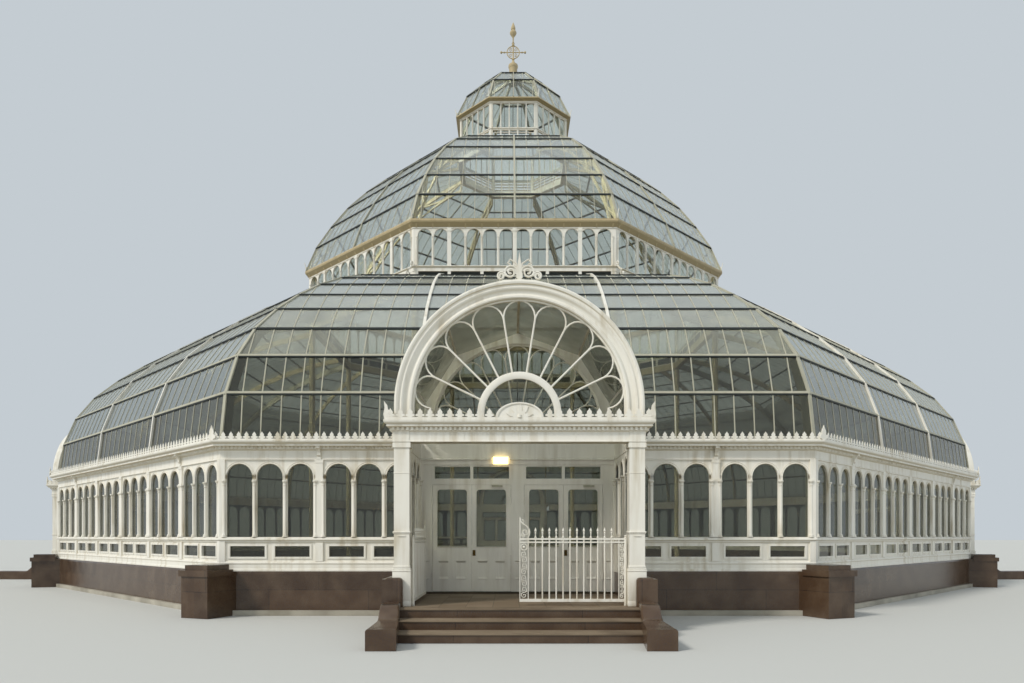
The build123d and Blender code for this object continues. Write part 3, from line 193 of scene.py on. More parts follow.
def beam(bm, start, end, width, depth, out):
    """A straight bar from start to end, its depth towards the direction out."""
    start, end, out = Vector(start), Vector(end), Vector(out)
    along = (end - start).normalized()
    side = along.cross(out).normalized()
    up = side.cross(along)
    middle = (start + end) / 2 + up * (depth / 2)
    turn = Matrix((side * width, along * (end - start).length, up * depth)).transposed().to_4x4()
    return bmesh.ops.create_cube(bm, size=1, matrix=Matrix.Translation(middle) @ turn)["verts"]


def casting(bm, points, depth):
    """A flat outline of 3D points, given a thickness."""
    face = bm.faces.new([bm.verts.new(point) for point in points])
    grown = bmesh.ops.extrude_face_region(bm, geom=[face])["geom"]
    moved = verts_of(grown)
    bmesh.ops.translate(bm, verts=moved, vec=depth)
    return list(face.verts) + moved


def plate(bm, outline, front, thick):
    """A casting that stands on the front side, its outer face at the distance front."""
    return casting(bm, [(u, -front, z) for u, z in outline], (0, thick, 0))


def moulding(bm, section, left=None, right=None):
    """A section of (r, z) points run along the front side. An end that isn't given is mitred."""
    verts = casting(bm, [(0, -r, z) for r, z in section], (1, 0, 0))
    for place, vert in enumerate(verts):
        end = left if place < len(section) else right
        reach = -vert.co.y * TAN
        vert.co.x = end if end is not None else (-reach if place < len(section) else reach)
    return verts


def turning(bm, profile, steps, place=(0, 0)):
    """A round post from (radius, z) points, about an upright line at place, given as (u, r)."""
    centre = Vector((place[0], -place[1], 0))
    points = [bm.verts.new(centre + Vector((radius, 0, z))) for radius, z in profile]
    line = points + [bm.edges.new(pair) for pair in zip(points, points[1:])]
    about = {"axis": (0, 0, 1), "cent": centre, "angle": math.tau, "steps": steps}
    bmesh.ops.spin(bm, geom=line, use_merge=True, **about)


def arch(bm, section, centre, steps, foot=None):
    """A section of (radius, r) points spun over an arch in the front plane, on straight legs to foot."""
    cut = bm.faces.new([bm.verts.new((radius, -r, centre)) for radius, r in section])
    if foot is not None:
        bmesh.ops.translate(bm, verts=list(cut.verts), vec=(0, 0, foot - centre))
        grown = bmesh.ops.extrude_face_region(bm, geom=[cut])["geom"]
        bmesh.ops.translate(bm, verts=verts_of(grown), vec=(0, 0, centre - foot))
        cut = faces_of(grown)[0]
    about = {"axis": (0, -1, 0), "cent": (0, 0, centre), "angle": math.pi, "steps": steps}
    last = bmesh.ops.spin(bm, geom=[cut], **about)["geom_last"]
    if foot is not None:
        grown = bmesh.ops.extrude_face_region(bm, geom=[faces_of(last)[0]])["geom"]
        bmesh.ops.translate(bm, verts=verts_of(grown), vec=(0, 0, foot - centre))


def rod(bm, points, radius, closed=False, sides=1):
    """A round bar along a line of 3D points, swept by a curve's bevel."""
    curve = bpy.data.curves.new("rod", "CURVE")
    curve.dimensions = "3D"
    curve.bevel_depth, curve.bevel_resolution, curve.use_fill_caps = radius, sides, True
    line = curve.splines.new("POLY")
    line.points.add(len(points) - 1)
    for spot, point in zip(line.points, points):
        spot.co = (*point, 1)
    line.use_cyclic_u = closed
    holder = bpy.data.objects.new("rod", curve)
    swept = bpy.data.meshes.new_from_object(holder)
    bm.from_mesh(swept)
    bpy.data.objects.remove(holder)
    bpy.data.meshes.remove(swept)
    bpy.data.curves.remove(curve)


def wire(bm, points, radius, r=0, **how):
    """A round bar along (u, z) points, in the front plane at the distance r."""
    rod(bm, [(u, -r, z) for u, z in points], radius, **how)


def ball(bm, place, size):
    shape = place @ Matrix.Diagonal((*size, 1))
    bmesh.ops.create_uvsphere(bm, u_segments=12, v_segments=8, radius=1, matrix=shape)


def soften(bm, edges, width, segments):
    how = {"offset": width, "segments": segments, "profile": 0.5, "affect": "EDGES", "material": -1}
    bmesh.ops.bevel(bm, geom=list(edges), **how)


def edges_of(verts):
    return {edge for vert in verts for edge in vert.link_edges}


print("forms: block, beam, casting, plate, moulding, turning, arch, rod, wire, ball")

# %% [markdown]
# Copies are turned round the building or mirrored, so a piece for all eight sides is one mesh. A shape
# that comes again and again is kept as a pattern and stamped.

# %% Copies and patterns


def copies(bm, places):
    """Leaves a copy of all that the bmesh holds on each side in places, and none where it was drawn."""
    source = [*bm.verts, *bm.edges, *bm.faces]
    drawn = list(bm.verts)
    for place in places:
        made = bmesh.ops.duplicate(bm, geom=source)["geom"]
        bmesh.ops.rotate(bm, verts=verts_of(made), cent=(0, 0, 0), matrix=turned(place * TURN))
    bmesh.ops.delete(bm, geom=drawn, context="VERTS")


def mirror(bm):
    """Adds the mirror image across the middle of the side."""
    made = bmesh.ops.duplicate(bm, geom=[*bm.verts, *bm.edges, *bm.faces])["geom"]
    bmesh.ops.scale(bm, verts=verts_of(made), vec=(-1, 1, 1))
    bmesh.ops.reverse_faces(bm, faces=faces_of(made))


def kept(bm):
    """The shape as a mesh of its own, to be stamped again and again."""
    mesh = bpy.data.meshes.new("pattern")
    bm.to_mesh(mesh)
    bm.free()
    return mesh


def stamp(bm, pattern, matrices=(Matrix(),)):
    for matrix in matrices:
        count = len(bm.verts)
        bm.from_mesh(pattern)
        bm.verts.ensure_lookup_table()
        bmesh.ops.transform(bm, matrix=matrix, verts=bm.verts[count:])


def both_kinds(plain_side, entrance_side):
    """One drawing on the plain sides and the other on the entrance sides, together in one bmesh."""
    copies(plain_side, PLAIN)
    copies(entrance_side, ENTRANCES)
    stamp(plain_side, kept(entrance_side))
    return plain_side


def on_corner(bm, shape, r, bottom, edge_on=True):
    """Stands a shape on the corner at the left end of the front side, edge on or facing outwards."""
    place = turned(-TURN / 2) @ at(0, r / COS, bottom)
    stamp(bm, kept(shape), [place @ turned(-math.pi / 2) if edge_on else place])


print("entrances on sides", ENTRANCES, "and plain walls on", PLAIN)

# %% [markdown]
# ## Materials
# Each material is named for the real one, or for the light or shade that it paints. Patterns use object
# coordinates in metres, so their grain is at its real size. Paint is nearly white and faintly streaked,
# and under the ledges it is darkened as painted shade. The glass lets light through to the inside, so
# the inside isn't black. A MapRange node's inputs are its value, from where, to where, and the two
# results, which are 0 and 1 where none are given.

# %% Material tools


def srgb(text):
    channels = [int(text[place:place + 2], 16) / 255 for place in (0, 2, 4)]
    return (*[c / 12.92 if c <= 0.04045 else ((c + 0.055) / 1.055) ** 2.4 for c in channels], 1)


def feed(node, inputs):
    """Sets a node's inputs by name, or in socket order: a number, a colour or another node's output."""
    for name, value in inputs.items() if isinstance(inputs, dict) else enumerate(inputs):
        if isinstance(value, bpy.types.NodeSocket):
            node.id_data.links.new(value, node.inputs[name])
        else:
            node.inputs[name].default_value = value


def add_node(tree, kind, inputs=(), out=0, **settings):
    """Adds a node with its settings and links, and gives the output that the next one takes."""
    node = tree.nodes.new("ShaderNode" + kind)
    for name, value in settings.items():
        setattr(node, name, value)
    feed(node, inputs)
    return node.outputs[out]


def new_material(name):
    """A material, its shader, and the function that adds a node to it."""
    material = bpy.data.materials.new(name)
    material.use_nodes = True
    tree = material.node_tree
    return material, tree.nodes["Principled BSDF"], functools.partial(add_node, tree)


def painted(name, clean, streak_and_shade_colour, roughness, grain):
    """Gloss paint with faint rain streaks, cloudy patches and a slight skin. Faces that look down are
    darkened towards the second colour as painted shade.
    """
    material, shader, node = new_material(name)
    place = node("TexCoord", out="Object")
    drawn_out = node("Mapping", {"Vector": place, "Scale": (1, 1, 0.12)})
    streaks = node("TexNoise", {"Vector": drawn_out, "Scale": 7, "Detail": 4})
    patches = node("TexNoise", {"Vector": place, "Scale": 0.9, "Detail": 4})
    streaky = node("MapRange", (streaks, 0.45, 0.75))
    patchy = node("MapRange", (patches, 0.35, 0.7))
    rain = node("Math", (streaky, patchy), operation="MULTIPLY")
    # Faces that look down are mixed towards the second colour: painted shade under the ledges.
    up = node("SeparateXYZ", [node("NewGeometry", out="Normal")], out="Z")
    painted_shade_under = node("MapRange", (up, -0.3, -0.95, 0, 0.9))
    # This mask joins the real rain streaks and the painted shade under the ledges.
    streak_and_shade = node("Math", (rain, painted_shade_under), operation="MAXIMUM")
    limits = (0.3, 0.7, roughness - 0.06, roughness + 0.12)
    skin = node("TexNoise", {"Vector": place, "Scale": grain, "Detail": 4})
    feed(shader, {
        "Base Color": node("Mix", {0: streak_and_shade, 6: srgb(clean), 7: srgb(streak_and_shade_colour)}, 2, data_type="RGBA"),
        "Roughness": node("MapRange", (streaks, *limits)),
        "Normal": node("Bump", {"Height": skin, "Strength": 0.25, "Distance": 0.002}),
    })
    return material


def plain(name, colour, roughness, more=()):
    material, shader, _ = new_material(name)
    feed(shader, {"Base Color": srgb(colour), "Roughness": roughness, **dict(more)})
    return material


print("clean paint:", [round(channel, 3) for channel in srgb("eeeade")])

# %% [markdown]
# The granite plinth is built of long blocks in two courses. The joints follow each side: the angle
# of a point picks its side, and turning the point back gives its place along the wall.

# %% Granite, stone and tile


def side_place(node, place):
    """The place along the wall and the height, for a point on any side."""
    parts = node("SeparateXYZ", [place]).node.outputs
    angle = node("Math", (parts["Y"], parts["X"]), operation="ARCTAN2")
    eighths = node("Math", (angle, TURN), operation="DIVIDE")
    nearest = node("Math", [eighths], operation="ROUND")
    side = node("Math", (nearest, TURN), operation="MULTIPLY")
    cosine, sine = node("Math", [side], operation="COSINE"), node("Math", [side], operation="SINE")
    across = node("Math", (parts["Y"], cosine), operation="MULTIPLY")
    back = node("Math", (parts["X"], sine), operation="MULTIPLY")
    return node("Math", (across, back), operation="SUBTRACT"), parts["Z"]


def granite():
    material, shader, node = new_material("polished brown granite")
    place = node("TexCoord", out="Object")
    along, up = side_place(node, place)
    flat = node("CombineXYZ", (along, up))
    joints = {"Vector": flat, "Color1": srgb("54402f"), "Color2": srgb("463527"), "Mortar": srgb("221b18")}
    sizes = {"Scale": 1.0, "Mortar Size": 0.005, "Brick Width": BAY, "Row Height": 0.52}
    blocks = node("TexBrick", {**joints, **sizes})
    grain = node("TexNoise", {"Vector": place, "Scale": 110, "Detail": 3})
    clouds = node("TexNoise", {"Vector": place, "Scale": 2.5, "Detail": 4})
    dark = node("MapRange", (grain, 0.52, 0.66))
    pale = node("MapRange", (clouds, 0.4, 0.75, 0, 0.35))
    speckled = node("Mix", {0: dark, 6: blocks, 7: srgb("2b211f")}, 2, data_type="RGBA")
    feed(shader, {
        "Base Color": node("Mix", {0: pale, 6: speckled, 7: srgb("7d6b58")}, 2, data_type="RGBA"),
        "Roughness": node("MapRange", (grain, 0.3, 0.7, 0.16, 0.34)),
    })
    return material


def stone(name, colour, dark, scale):
    material, shader, node = new_material(name)
    place = node("TexCoord", out="Object")
    coarse = node("TexNoise", {"Vector": place, "Scale": scale, "Detail": 4})
    fine = node("TexNoise", {"Vector": place, "Scale": scale * 30, "Detail": 4})
    worn = node("MapRange", (coarse, 0.35, 0.7))
    feed(shader, {
        "Base Color": node("Mix", {0: worn, 6: srgb(colour), 7: srgb(dark)}, 2, data_type="RGBA"),
        "Roughness": 0.75,
        "Normal": node("Bump", {"Height": fine, "Strength": 0.4, "Distance": 0.003}),
    })
    return material


def tiles():
    material, shader, node = new_material("worn floor tile")
    place = node("TexCoord", out="Object")
    joints = {"Vector": place, "Color1": srgb("8b7a66"), "Color2": srgb("75644f"), "Mortar": srgb("3f382f")}
    sizes = {"Scale": 1.0, "Mortar Size": 0.004, "Brick Width": 0.45, "Row Height": 0.45}
    feed(shader, {"Base Color": node("TexBrick", {**joints, **sizes}, offset=0.0), "Roughness": 0.6})
    return material


print("stone joints every", BAY, "m")

# %% [markdown]
# The glass is tinted darkest in the walls and in the two steep courses above them, grey in the next four
# courses, and clear above. This darker tint low down is painted reflection of dark trees and painted
# shade of the dark inside. Its dust is thicker where it lies flatter, and a pane seen at a slant
# mirrors the pale sky.

# %% Glass
STEEP_GLASS, CLEAR_GLASS, SKY_GLASS = 5.3, 7.6, LOWER[1][1] - 0.01


def glass(name, clear, grey, deep, dust):
    """Tinted glass under dust and sky gloss. A shadow ray passes as through a thin tinted film."""
    material, shader, node = new_material(name)
    place = node("TexCoord", out="Object")
    height = node("SeparateXYZ", [place], "Z")
    # Darker tints below these heights: painted reflection of dark trees and painted shade of the dark inside.
    above_steep = node("MapRange", (height, STEEP_GLASS, STEEP_GLASS + 0.3))
    above_grey = node("MapRange", (height, CLEAR_GLASS, CLEAR_GLASS + 0.2))
    tint = node("Mix", {0: above_steep, 6: srgb(deep), 7: srgb(grey)}, 2, data_type="RGBA")
    tint = node("Mix", {0: above_grey, 6: tint, 7: srgb(clear)}, 2, data_type="RGBA")
    feed(shader, {"Base Color": tint, "Roughness": 0.02, "Transmission Weight": 1.0, "IOR": 1.45})
    shadow = node("LightPath", out="Is Shadow Ray")
    film = node("BsdfTransparent", [tint])
    sheet = node("MixShader", (shadow, shader.outputs[0], film))

    up = node("SeparateXYZ", [node("NewGeometry", out="Normal")], "Z")
    level = node("Math", [up], operation="ABSOLUTE")
    settled = node("MapRange", (level, 0.35, 0.8, 0.03, dust))
    clouds = node("TexNoise", {"Vector": place, "Scale": 1.3, "Detail": 4})
    cloudy = node("MapRange", (clouds, 0.3, 0.7, 0.6))
    washed = node("MapRange", (height, CLEAR_GLASS, CLEAR_GLASS + 0.2, 1, 0.4))
    share = node("Math", (settled, cloudy), operation="MULTIPLY")
    share = node("Math", (share, washed), operation="MULTIPLY")
    dusty = node("MixShader", (share, sheet, node("BsdfDiffuse", [srgb("d2d3c8")])))

    slant = node("LayerWeight", {"Blend": 0.5}, "Facing")
    gloss = node("MapRange", (slant, 0.45, 0.8, 0, 0.6))
    in_sky = node("MapRange", (height, SKY_GLASS, SKY_GLASS + 0.02))
    outside = node("Math", (up, 0), operation="GREATER_THAN")
    gloss = node("Math", (gloss, in_sky), operation="MULTIPLY")
    gloss = node("Math", (gloss, outside), operation="MULTIPLY")
    sky = node("BsdfAnisotropic", {"Color": srgb("dde1df"), "Roughness": 0.25})
    surface = node("MixShader", (gloss, dusty, sky))
    feed(material.node_tree.nodes["Material Output"], {"Surface": surface})
    return material


print("sky gloss from", round(SKY_GLASS, 3), "m up")

# %% Materials
# The second colour of each paint serves its rain streaks and the painted shade under its ledges.
IRON = painted("gloss-painted cast iron", "eeeade", "b5a685", 0.36, 40)
TIMBER = painted("white-painted timber", "efece2", "cfc8b8", 0.3, 90)
OCHRE = painted("ochre-painted cast iron", "c2b08a", "8f7f58", 0.42, 40)
RIB = painted("cream-painted rib", "cfc3a0", "a3946c", 0.45, 40)
BAR = painted("weathered glazing bar", "b4b19e", "96937e", 0.5, 60)
# Near-black strips under the laps between roof courses: painted shadow of each lap.
LAP_SHADOW = plain("painted lap shadow", "262a29", 0.6)
LOUVRE = plain("dark-painted louvre", "4a4f4c", 0.5)
BRASS = plain("tarnished brass", "5f4d2c", 0.35, {"Metallic": 1.0})
GRANITE = granite()
PALE_STONE = stone("weathered pale stone", "b9b3a4", "8f897b", 1.5)
LEDGE = stone("dark door sill stone", "5b5140", "3a342a", 1.5)
# A paler copy of the granite for the tread tops: partly wear, partly painted highlight.
TREAD = stone("worn granite tread with painted highlight", "8d7d68", "6b5c4a", 1.2)
TILE = tiles()
# Its grey and darkest tints, low down, are painted reflection and painted shade.
GLASS = glass("old greenhouse glass", "edf1ec", "bdc1b6", "95978b", 0.5)
LAMP_COLOUR = "ffe3a0"
GLOW = {"Emission Color": srgb(LAMP_COLOUR), "Emission Strength": 2.5}
LAMP = plain("lit lamp glass", LAMP_COLOUR, 0.4, GLOW)
BY_SLOT = {"white_iron": IRON, "painted_timber": TIMBER, "clear_glass": GLASS, "granite": GRANITE,
    "pale_stone": PALE_STONE, "floor_tile": TILE, "lamp_glass": LAMP}
BY_NODE = {name: RIB for name in ("principal_ribs", "upper_ribs", "ring_beam", "inner_columns")}
BY_NODE.update({name: BAR for name in ("lower_hip_ribs", "lantern_ribs", "lantern_cap")})
BY_NODE.update({name: OCHRE for name in ("clerestory_cornice", "lantern_cornice")})
# The door sills take a darker stone than the other sills.
BY_NODE["door_sills"] = LEDGE
for part in frame["record"]["subparts"]:
    node = frame["nodes"][part["node"]]
    node.data.materials[0] = BY_NODE.get(part["node"], BY_SLOT[part["material_slot"]])
SLOT_OF = {material: slot for slot, material in BY_SLOT.items()}
SLOT_OF.update({OCHRE: "white_iron", BAR: "white_iron", TREAD: "granite"})

# %% Pieces


def piece(name, bm, material, sides=(), body="building", smooth=35, replaces=()):
    """Turns the bmesh, copied to the sides, into an object that rides on its body."""
    if sides:
        copies(bm, sides)
    bmesh.ops.recalc_face_normals(bm, faces=bm.faces)
    mesh = bpy.data.meshes.new(name)
    bm.to_mesh(mesh)
    bm.free()
    if smooth:
        mesh.polygons.foreach_set("use_smooth", [True] * len(mesh.polygons))
        mesh.set_sharp_from_angle(angle=math.radians(smooth))
    mesh.materials.append(material)
    made = bpy.data.objects.new(name, mesh)
    bpy.context.scene.collection.objects.link(made)
    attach(made, body)
    if replaces:
        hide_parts(*replaces)
    print(f"{name}: {sum(len(p.vertices) - 2 for p in mesh.polygons)} triangles")


print("slots:", sorted(set(SLOT_OF.values())))

# %% [markdown]
# ## Arcade walls
# One light is drawn once: a plate with an arched opening and a rolled moulding round the arch. Three
# of them, four slim columns and a pair of low windows make a bay.

# %% Arcade light and bay
LIGHT_PITCH = (BAY - 0.1585) / 3
LIGHT_HALF = (LIGHT_PITCH - 0.1015) / 2
LIGHTS_HALF = 0.9365
WINDOW_LOW, WINDOW_HIGH, WINDOW_MIDDLE, WINDOW_HALF = 1.175, 1.435, 0.46, 0.3765
LIGHT_ROLL = [(0, -0.01), (0, 0.008), (0.012, 0.022), (0.022, 0.01), (0.036, 0.01), (0.044, 0.018),
    (0.05, -0.01)]


def arch_points(half, spring, steps, centre=0.0):
    """The half circle of an arch, from its right springing to its left one."""
    turns = [math.pi * step / steps for step in range(steps + 1)]
    return [(centre + half * math.cos(turn), spring + half * math.sin(turn)) for turn in turns]


def light(bm, half, pitch, heights, front, roll, legs, steps=12, thick=SKIN):
    """A plate with an arched opening, and the roll round its arch with legs down to a height."""
    foot, spring, top = heights
    edge = pitch / 2
    outline = [(half, foot), (edge, foot), (edge, top), (-edge, top), (-edge, foot), (-half, foot)]
    plate(bm, outline + arch_points(half, spring, steps)[::-1], front, thick)
    arch(bm, shifted(roll, half, front), spring, steps, foot=legs)


def column(bm, foot, head, radius, place, steps=8):
    """A slim column with a ringed base and a bell capital."""
    shapes = [(2.0, 0), (2.0, 0.02), (1.6, 0.03), (1.75, 0.045), (1.3, 0.06), (1.0, 0.075)]
    bells = [(1.0, -0.115), (1.4, -0.105), (1.05, -0.095), (1.2, -0.06), (1.9, -0.03), (2.1, -0.025),
        (2.1, 0)]
    profile = [(0, foot)] + [(share * radius, foot + rise) for share, rise in shapes]
    profile += [(share * radius, head + rise) for share, rise in bells] + [(0, head)]
    turning(bm, profile, steps, place)


def low_window(bm, middle, half, front, rail_half, lap=0.02):
    """The raised frame of a low window."""
    depth = (front - 0.03, front + 0.018)
    for edge in (middle - half, middle + half):
        block(bm, edge - lap, edge + lap, *depth, WINDOW_LOW - lap, WINDOW_HIGH + lap)
    for edge in (WINDOW_LOW, WINDOW_HIGH):
        block(bm, middle - rail_half, middle + rail_half, *depth, edge - lap, edge + lap)


one = bmesh.new()
light(one, LIGHT_HALF, LIGHT_PITCH, (SILL_TOP, SPRING, WALL_TOP), WALL, LIGHT_ROLL, COLUMN_TOP)
bay = bmesh.new()
stamp(bay, kept(one), [at(place * LIGHT_PITCH) for place in (-1, 0, 1)])
for line in (-1.5, -0.5, 0.5, 1.5):
    column(bay, SILL_TOP, COLUMN_TOP, 0.028, (line * LIGHT_PITCH, WALL + 0.02))
low_edge, high_edge = WINDOW_MIDDLE - WINDOW_HALF, WINDOW_MIDDLE + WINDOW_HALF
for left, right in ((-BAY / 2, -LIGHTS_HALF), (LIGHTS_HALF, BAY / 2)):
    block(bay, left, right, WALL - SKIN, WALL, SILL_TOP, WALL_TOP)
for left, right in ((-BAY / 2, -high_edge), (-low_edge, low_edge), (high_edge, BAY / 2)):
    block(bay, left, right, WALL - SKIN, WALL, BASE_TOP, SILL)
for middle in (-WINDOW_MIDDLE, WINDOW_MIDDLE):
    for low, high in ((BASE_TOP, WINDOW_LOW), (WINDOW_HIGH, SILL)):
        block(bay, middle - WINDOW_HALF, middle + WINDOW_HALF, WALL - SKIN, WALL, low, high)
    low_window(bay, middle, WINDOW_HALF, WALL, WINDOW_HALF - 0.02)
BAY_WALL = kept(bay)
print("bay:", len(BAY_WALL.polygons), "faces")

# %% [markdown]
# The walls: bays set out along a side, pilasters on the bay lines, and the base and sill as mouldings
# that turn the corners. An entrance side has the two outer bays at each end only.

# %% Arcade walls
BASE_OUTLINE = [(-0.09, BASE), (0.045, BASE), (0.045, 0.935), (0.03, 0.955), (0.03, 1.04), (0.042, 1.055),
    (0.042, 1.075), (0.02, BASE_TOP), (-0.09, BASE_TOP)]
SILL_OUTLINE = [(-0.09, SILL), (0.014, SILL), (0.03, 1.505), (0.034, 1.525), (0.06, 1.54), (0.06, 1.57),
    (0.045, 1.588), (0.005, SILL_TOP), (-0.09, SILL_TOP)]


def pilaster(bm, u, half=0.0775, face=WALL + 0.035):
    for low, high in ((SILL_TOP, WALL_TOP), (BASE_TOP, SILL)):
        block(bm, u - half, u + half, WALL - 0.02, face, low, high)
    bands = (SILL_TOP, 1.68, 0.012), (2.72, 2.75, 0.008), (2.75, 2.79, 0.016), (3.12, WALL_TOP, 0.01)
    for low, high, over in bands:
        block(bm, u - half - over, u + half + over, WALL, face + over, low, high)


plain_side, entrance_side = bmesh.new(), bmesh.new()
stamp(plain_side, BAY_WALL, [at((place + 0.5) * BAY) for place in range(-3, 3)])
stamp(entrance_side, BAY_WALL, [at((place + 0.5) * BAY) for place in (1, 2)])
for line in range(-2, 3):
    pilaster(plain_side, line * BAY)
pilaster(entrance_side, 2 * BAY)
for outline in (BASE_OUTLINE, SILL_OUTLINE):
    moulding(plain_side, shifted(outline, WALL))
    moulding(entrance_side, shifted(outline, WALL), left=PIER)
mirror(entrance_side)
piece("arcade", both_kinds(plain_side, entrance_side), IRON, replaces=["arcade_walls"])

# %% Wall panes
PORCH_GLASS = (2.036, 2.042)
plain_side, entrance_side = bmesh.new(), bmesh.new()
reach = (WALL - 0.08) * TAN
pane = (WALL - 0.037, WALL - 0.031, BASE_TOP, WALL_TOP)
block(plain_side, -reach, reach, *pane)
block(entrance_side, PIER, reach, *pane)
block(entrance_side, *PORCH_GLASS, WALL + 0.05, PIER_BACK, BASE_TOP, WALL_TOP)
mirror(entrance_side)
piece("wall_panes", both_kinds(plain_side, entrance_side), GLASS, smooth=0, replaces=["wall_glass"])

# %% [markdown]
# ## Eaves
# The cornice is a moulded run with a row of dentils under it, a bracket on the frieze near each corner,
# and a cresting of pointed leaves on top. A taller leaf stands at each corner.

# %% Eaves
CORNICE = [(-0.09, WALL_TOP), (0.032, WALL_TOP), (0.032, 3.205), (0.018, 3.22), (0.018, 3.37), (0.03, 3.385),
    (0.05, 3.392), (0.05, 3.44), (0.11, 3.446), (0.19, 3.452), (0.19, 3.488), (0.205, 3.5), (0.235, 3.515),
    (0.25, 3.54), (0.25, EAVES), (-0.09, EAVES)]
BRACKET = [(0.04, 3.24), (0.075, 3.27), (0.085, 3.33), (0.12, 3.38), (0.16, 3.41), (0.16, 3.45), (0.04, 3.45)]
BRACKET_HALF, BRACKET_FACE, BEAD_HALF = 0.04, 3.4, 0.006
FRIEZE = (3.222, 3.37)
DENTIL_ROW = (0.082, WALL + 0.04, WALL + 0.095)


def dentils(bm, start, end, pitch, near, far):
    middles, step = evenly(start, end, pitch)
    for u in middles:
        block(bm, u - step / 4, u + step / 4, near, far, DENTIL_FOOT, DENTIL_TOP)


plain_side, entrance_side = bmesh.new(), bmesh.new()
moulding(plain_side, shifted(CORNICE, WALL))
moulding(entrance_side, shifted(CORNICE, WALL), left=PORCH_BEAM_SIDE)
reach = (WALL + 0.05) * TAN
dentils(plain_side, -reach, reach, *DENTIL_ROW)
dentils(entrance_side, PORCH_BEAM_SIDE, reach, *DENTIL_ROW)
for bm, lines, ends in ((plain_side, (-1, 0, 1), (-1, 1)), (entrance_side, (), (1,))):
    for line in lines:
        block(bm, line * BAY - BEAD_HALF, line * BAY + BEAD_HALF, WALL + 0.01, WALL + 0.024, *FRIEZE)
    for way in ends:
        left, right = way * 2 * BAY - BRACKET_HALF, way * 2 * BAY + BRACKET_HALF
        block(bm, left, right, WALL, WALL + 0.05, WALL_TOP, BRACKET_FACE)
        moulding(bm, shifted(BRACKET, WALL), left, right)
mirror(entrance_side)
piece("eaves_cornice_moulded", both_kinds(plain_side, entrance_side), IRON, replaces=["eaves_cornice"])

# %% Cresting
LEAF = [(0.02, 0), (0.03, 0.012), (0.052, 0.018), (0.054, 0.04), (0.038, 0.054), (0.024, 0.056),
    (0.031, 0.078), (0.025, 0.1), (0.01, 0.125), (0, 0.15)]
LEAF_WIDTH, LEAF_HEIGHT = 0.108, 0.15
CREST = WALL + 0.223
CREST_PITCH, CREST_HEIGHT = 0.1585, 0.174


def leaf(width, height, thick=0.012):
    """A pointed trefoil leaf, its foot at the origin, in the front plane."""
    half = [(u * width / LEAF_WIDTH, z * height / LEAF_HEIGHT) for u, z in LEAF]
    bm = bmesh.new()
    plate(bm, half + [(-u, z) for u, z in half[-2::-1]], thick / 2, thick)
    return bm


def cresting(bm, start, end, pitch, r, bottom, height, rail=0.03):
    """A row of leaves on a low rail between two places along the front side."""
    middles, _ = evenly(start, end, pitch)
    stamp(bm, kept(leaf(pitch * 0.9, height - rail)), [at(u, r, bottom + rail) for u in middles])
    block(bm, start, end, r - 0.012, r + 0.012, bottom, bottom + rail)


plain_side, entrance_side, corners = bmesh.new(), bmesh.new(), bmesh.new()
reach = CREST * TAN
cresting(plain_side, -reach, reach, CREST_PITCH, CREST, EAVES, CREST_HEIGHT)
cresting(entrance_side, PORCH_BEAM_SIDE, reach, CREST_PITCH, CREST, EAVES, CREST_HEIGHT)
mirror(entrance_side)
on_corner(corners, leaf(0.2, 0.3, 0.02), CREST, EAVES, edge_on=False)
copies(corners, ALL)
both_kinds(plain_side, entrance_side)
stamp(plain_side, kept(corners))
piece("eaves_cresting", plain_side, IRON)

# %% [markdown]
# ## Roofs
# Thin glazing bars run up every course from one line, and are cut short at the hips. At each joint
# between courses a purlin bar lies over the glass, with a dark strip below it that is the painted shadow
# of the lap. A vault cuts into the lower roof on the entrance sides, and the bars there start at its edge.

# %% Roof tools
VAULT_LINE = [(VAULT * math.cos(math.radians(a)), ARCH_CENTRE + VAULT * math.sin(math.radians(a)))
    for a in (0, 15, 50, 90)]


def vault_height(u):
    """How high the glass vault stands at a place across the porch."""
    for (outer, low), (inner, high) in zip(VAULT_LINE, VAULT_LINE[1:]):
        if inner <= abs(u) <= outer:
            return low + (outer - abs(u)) / (outer - inner) * (high - low)
    return 0.0


def vault_half(z):
    """Half the width of the vault at a height."""
    for (outer, low), (inner, high) in zip(VAULT_LINE, VAULT_LINE[1:]):
        if low <= z <= high:
            return outer - (z - low) / (high - low) * (outer - inner)
    return VAULT if z < ARCH_CENTRE else 0.0


def glazing_bars(bm, line, places, width, rise, opened=False, edge=0.05):
    for (low_r, low_z), (high_r, high_z) in zip(line, line[1:]):
        slope = math.atan2(high_z - low_z, low_r - high_r)
        out = Vector((0, -math.sin(slope), math.cos(slope)))
        for u in places:
            start, end = low_r, max(high_r, (abs(u) + edge) / TAN)
            if opened and abs(u) < VAULT:
                start = min(start, low_r - (vault_height(u) - low_z) / math.tan(slope))
            if start - end > 0.03:
                ends = [(u, -r, low_z + (low_r - r) * math.tan(slope)) for r in (start, end)]
                beam(bm, *ends, width, rise, out)


def strips(bm, line, joints, below, above, rise, opened=False):
    """A flat strip along the roof at each joint: its reach down and up the slope, and its height."""
    for place in joints:
        (low_r, low_z), (r, z), (high_r, high_z) = line[place - 1], line[place], line[place + 1]
        slope = math.atan2(high_z - low_z, low_r - high_r)
        along, out = Vector((-math.cos(slope), math.sin(slope))), Vector((math.sin(slope), math.cos(slope)))
        middle = Vector((r, z))
        corners = [middle - along * below, middle + along * above]
        section = [tuple(spot) for spot in (*corners, *[spot + out * rise for spot in corners[::-1]])]
        if opened and vault_half(z):
            moulding(bm, section, left=vault_half(z) - 0.03)
            moulding(bm, section, right=0.03 - vault_half(z))
        else:
            moulding(bm, section)


def lines_every(pitch, reach, without=()):
    count = int(reach / pitch)
    return [place * pitch for place in range(-count, count + 1) if place not in without]


print("vault:", round(VAULT_LINE[-1][1], 3), "m high")

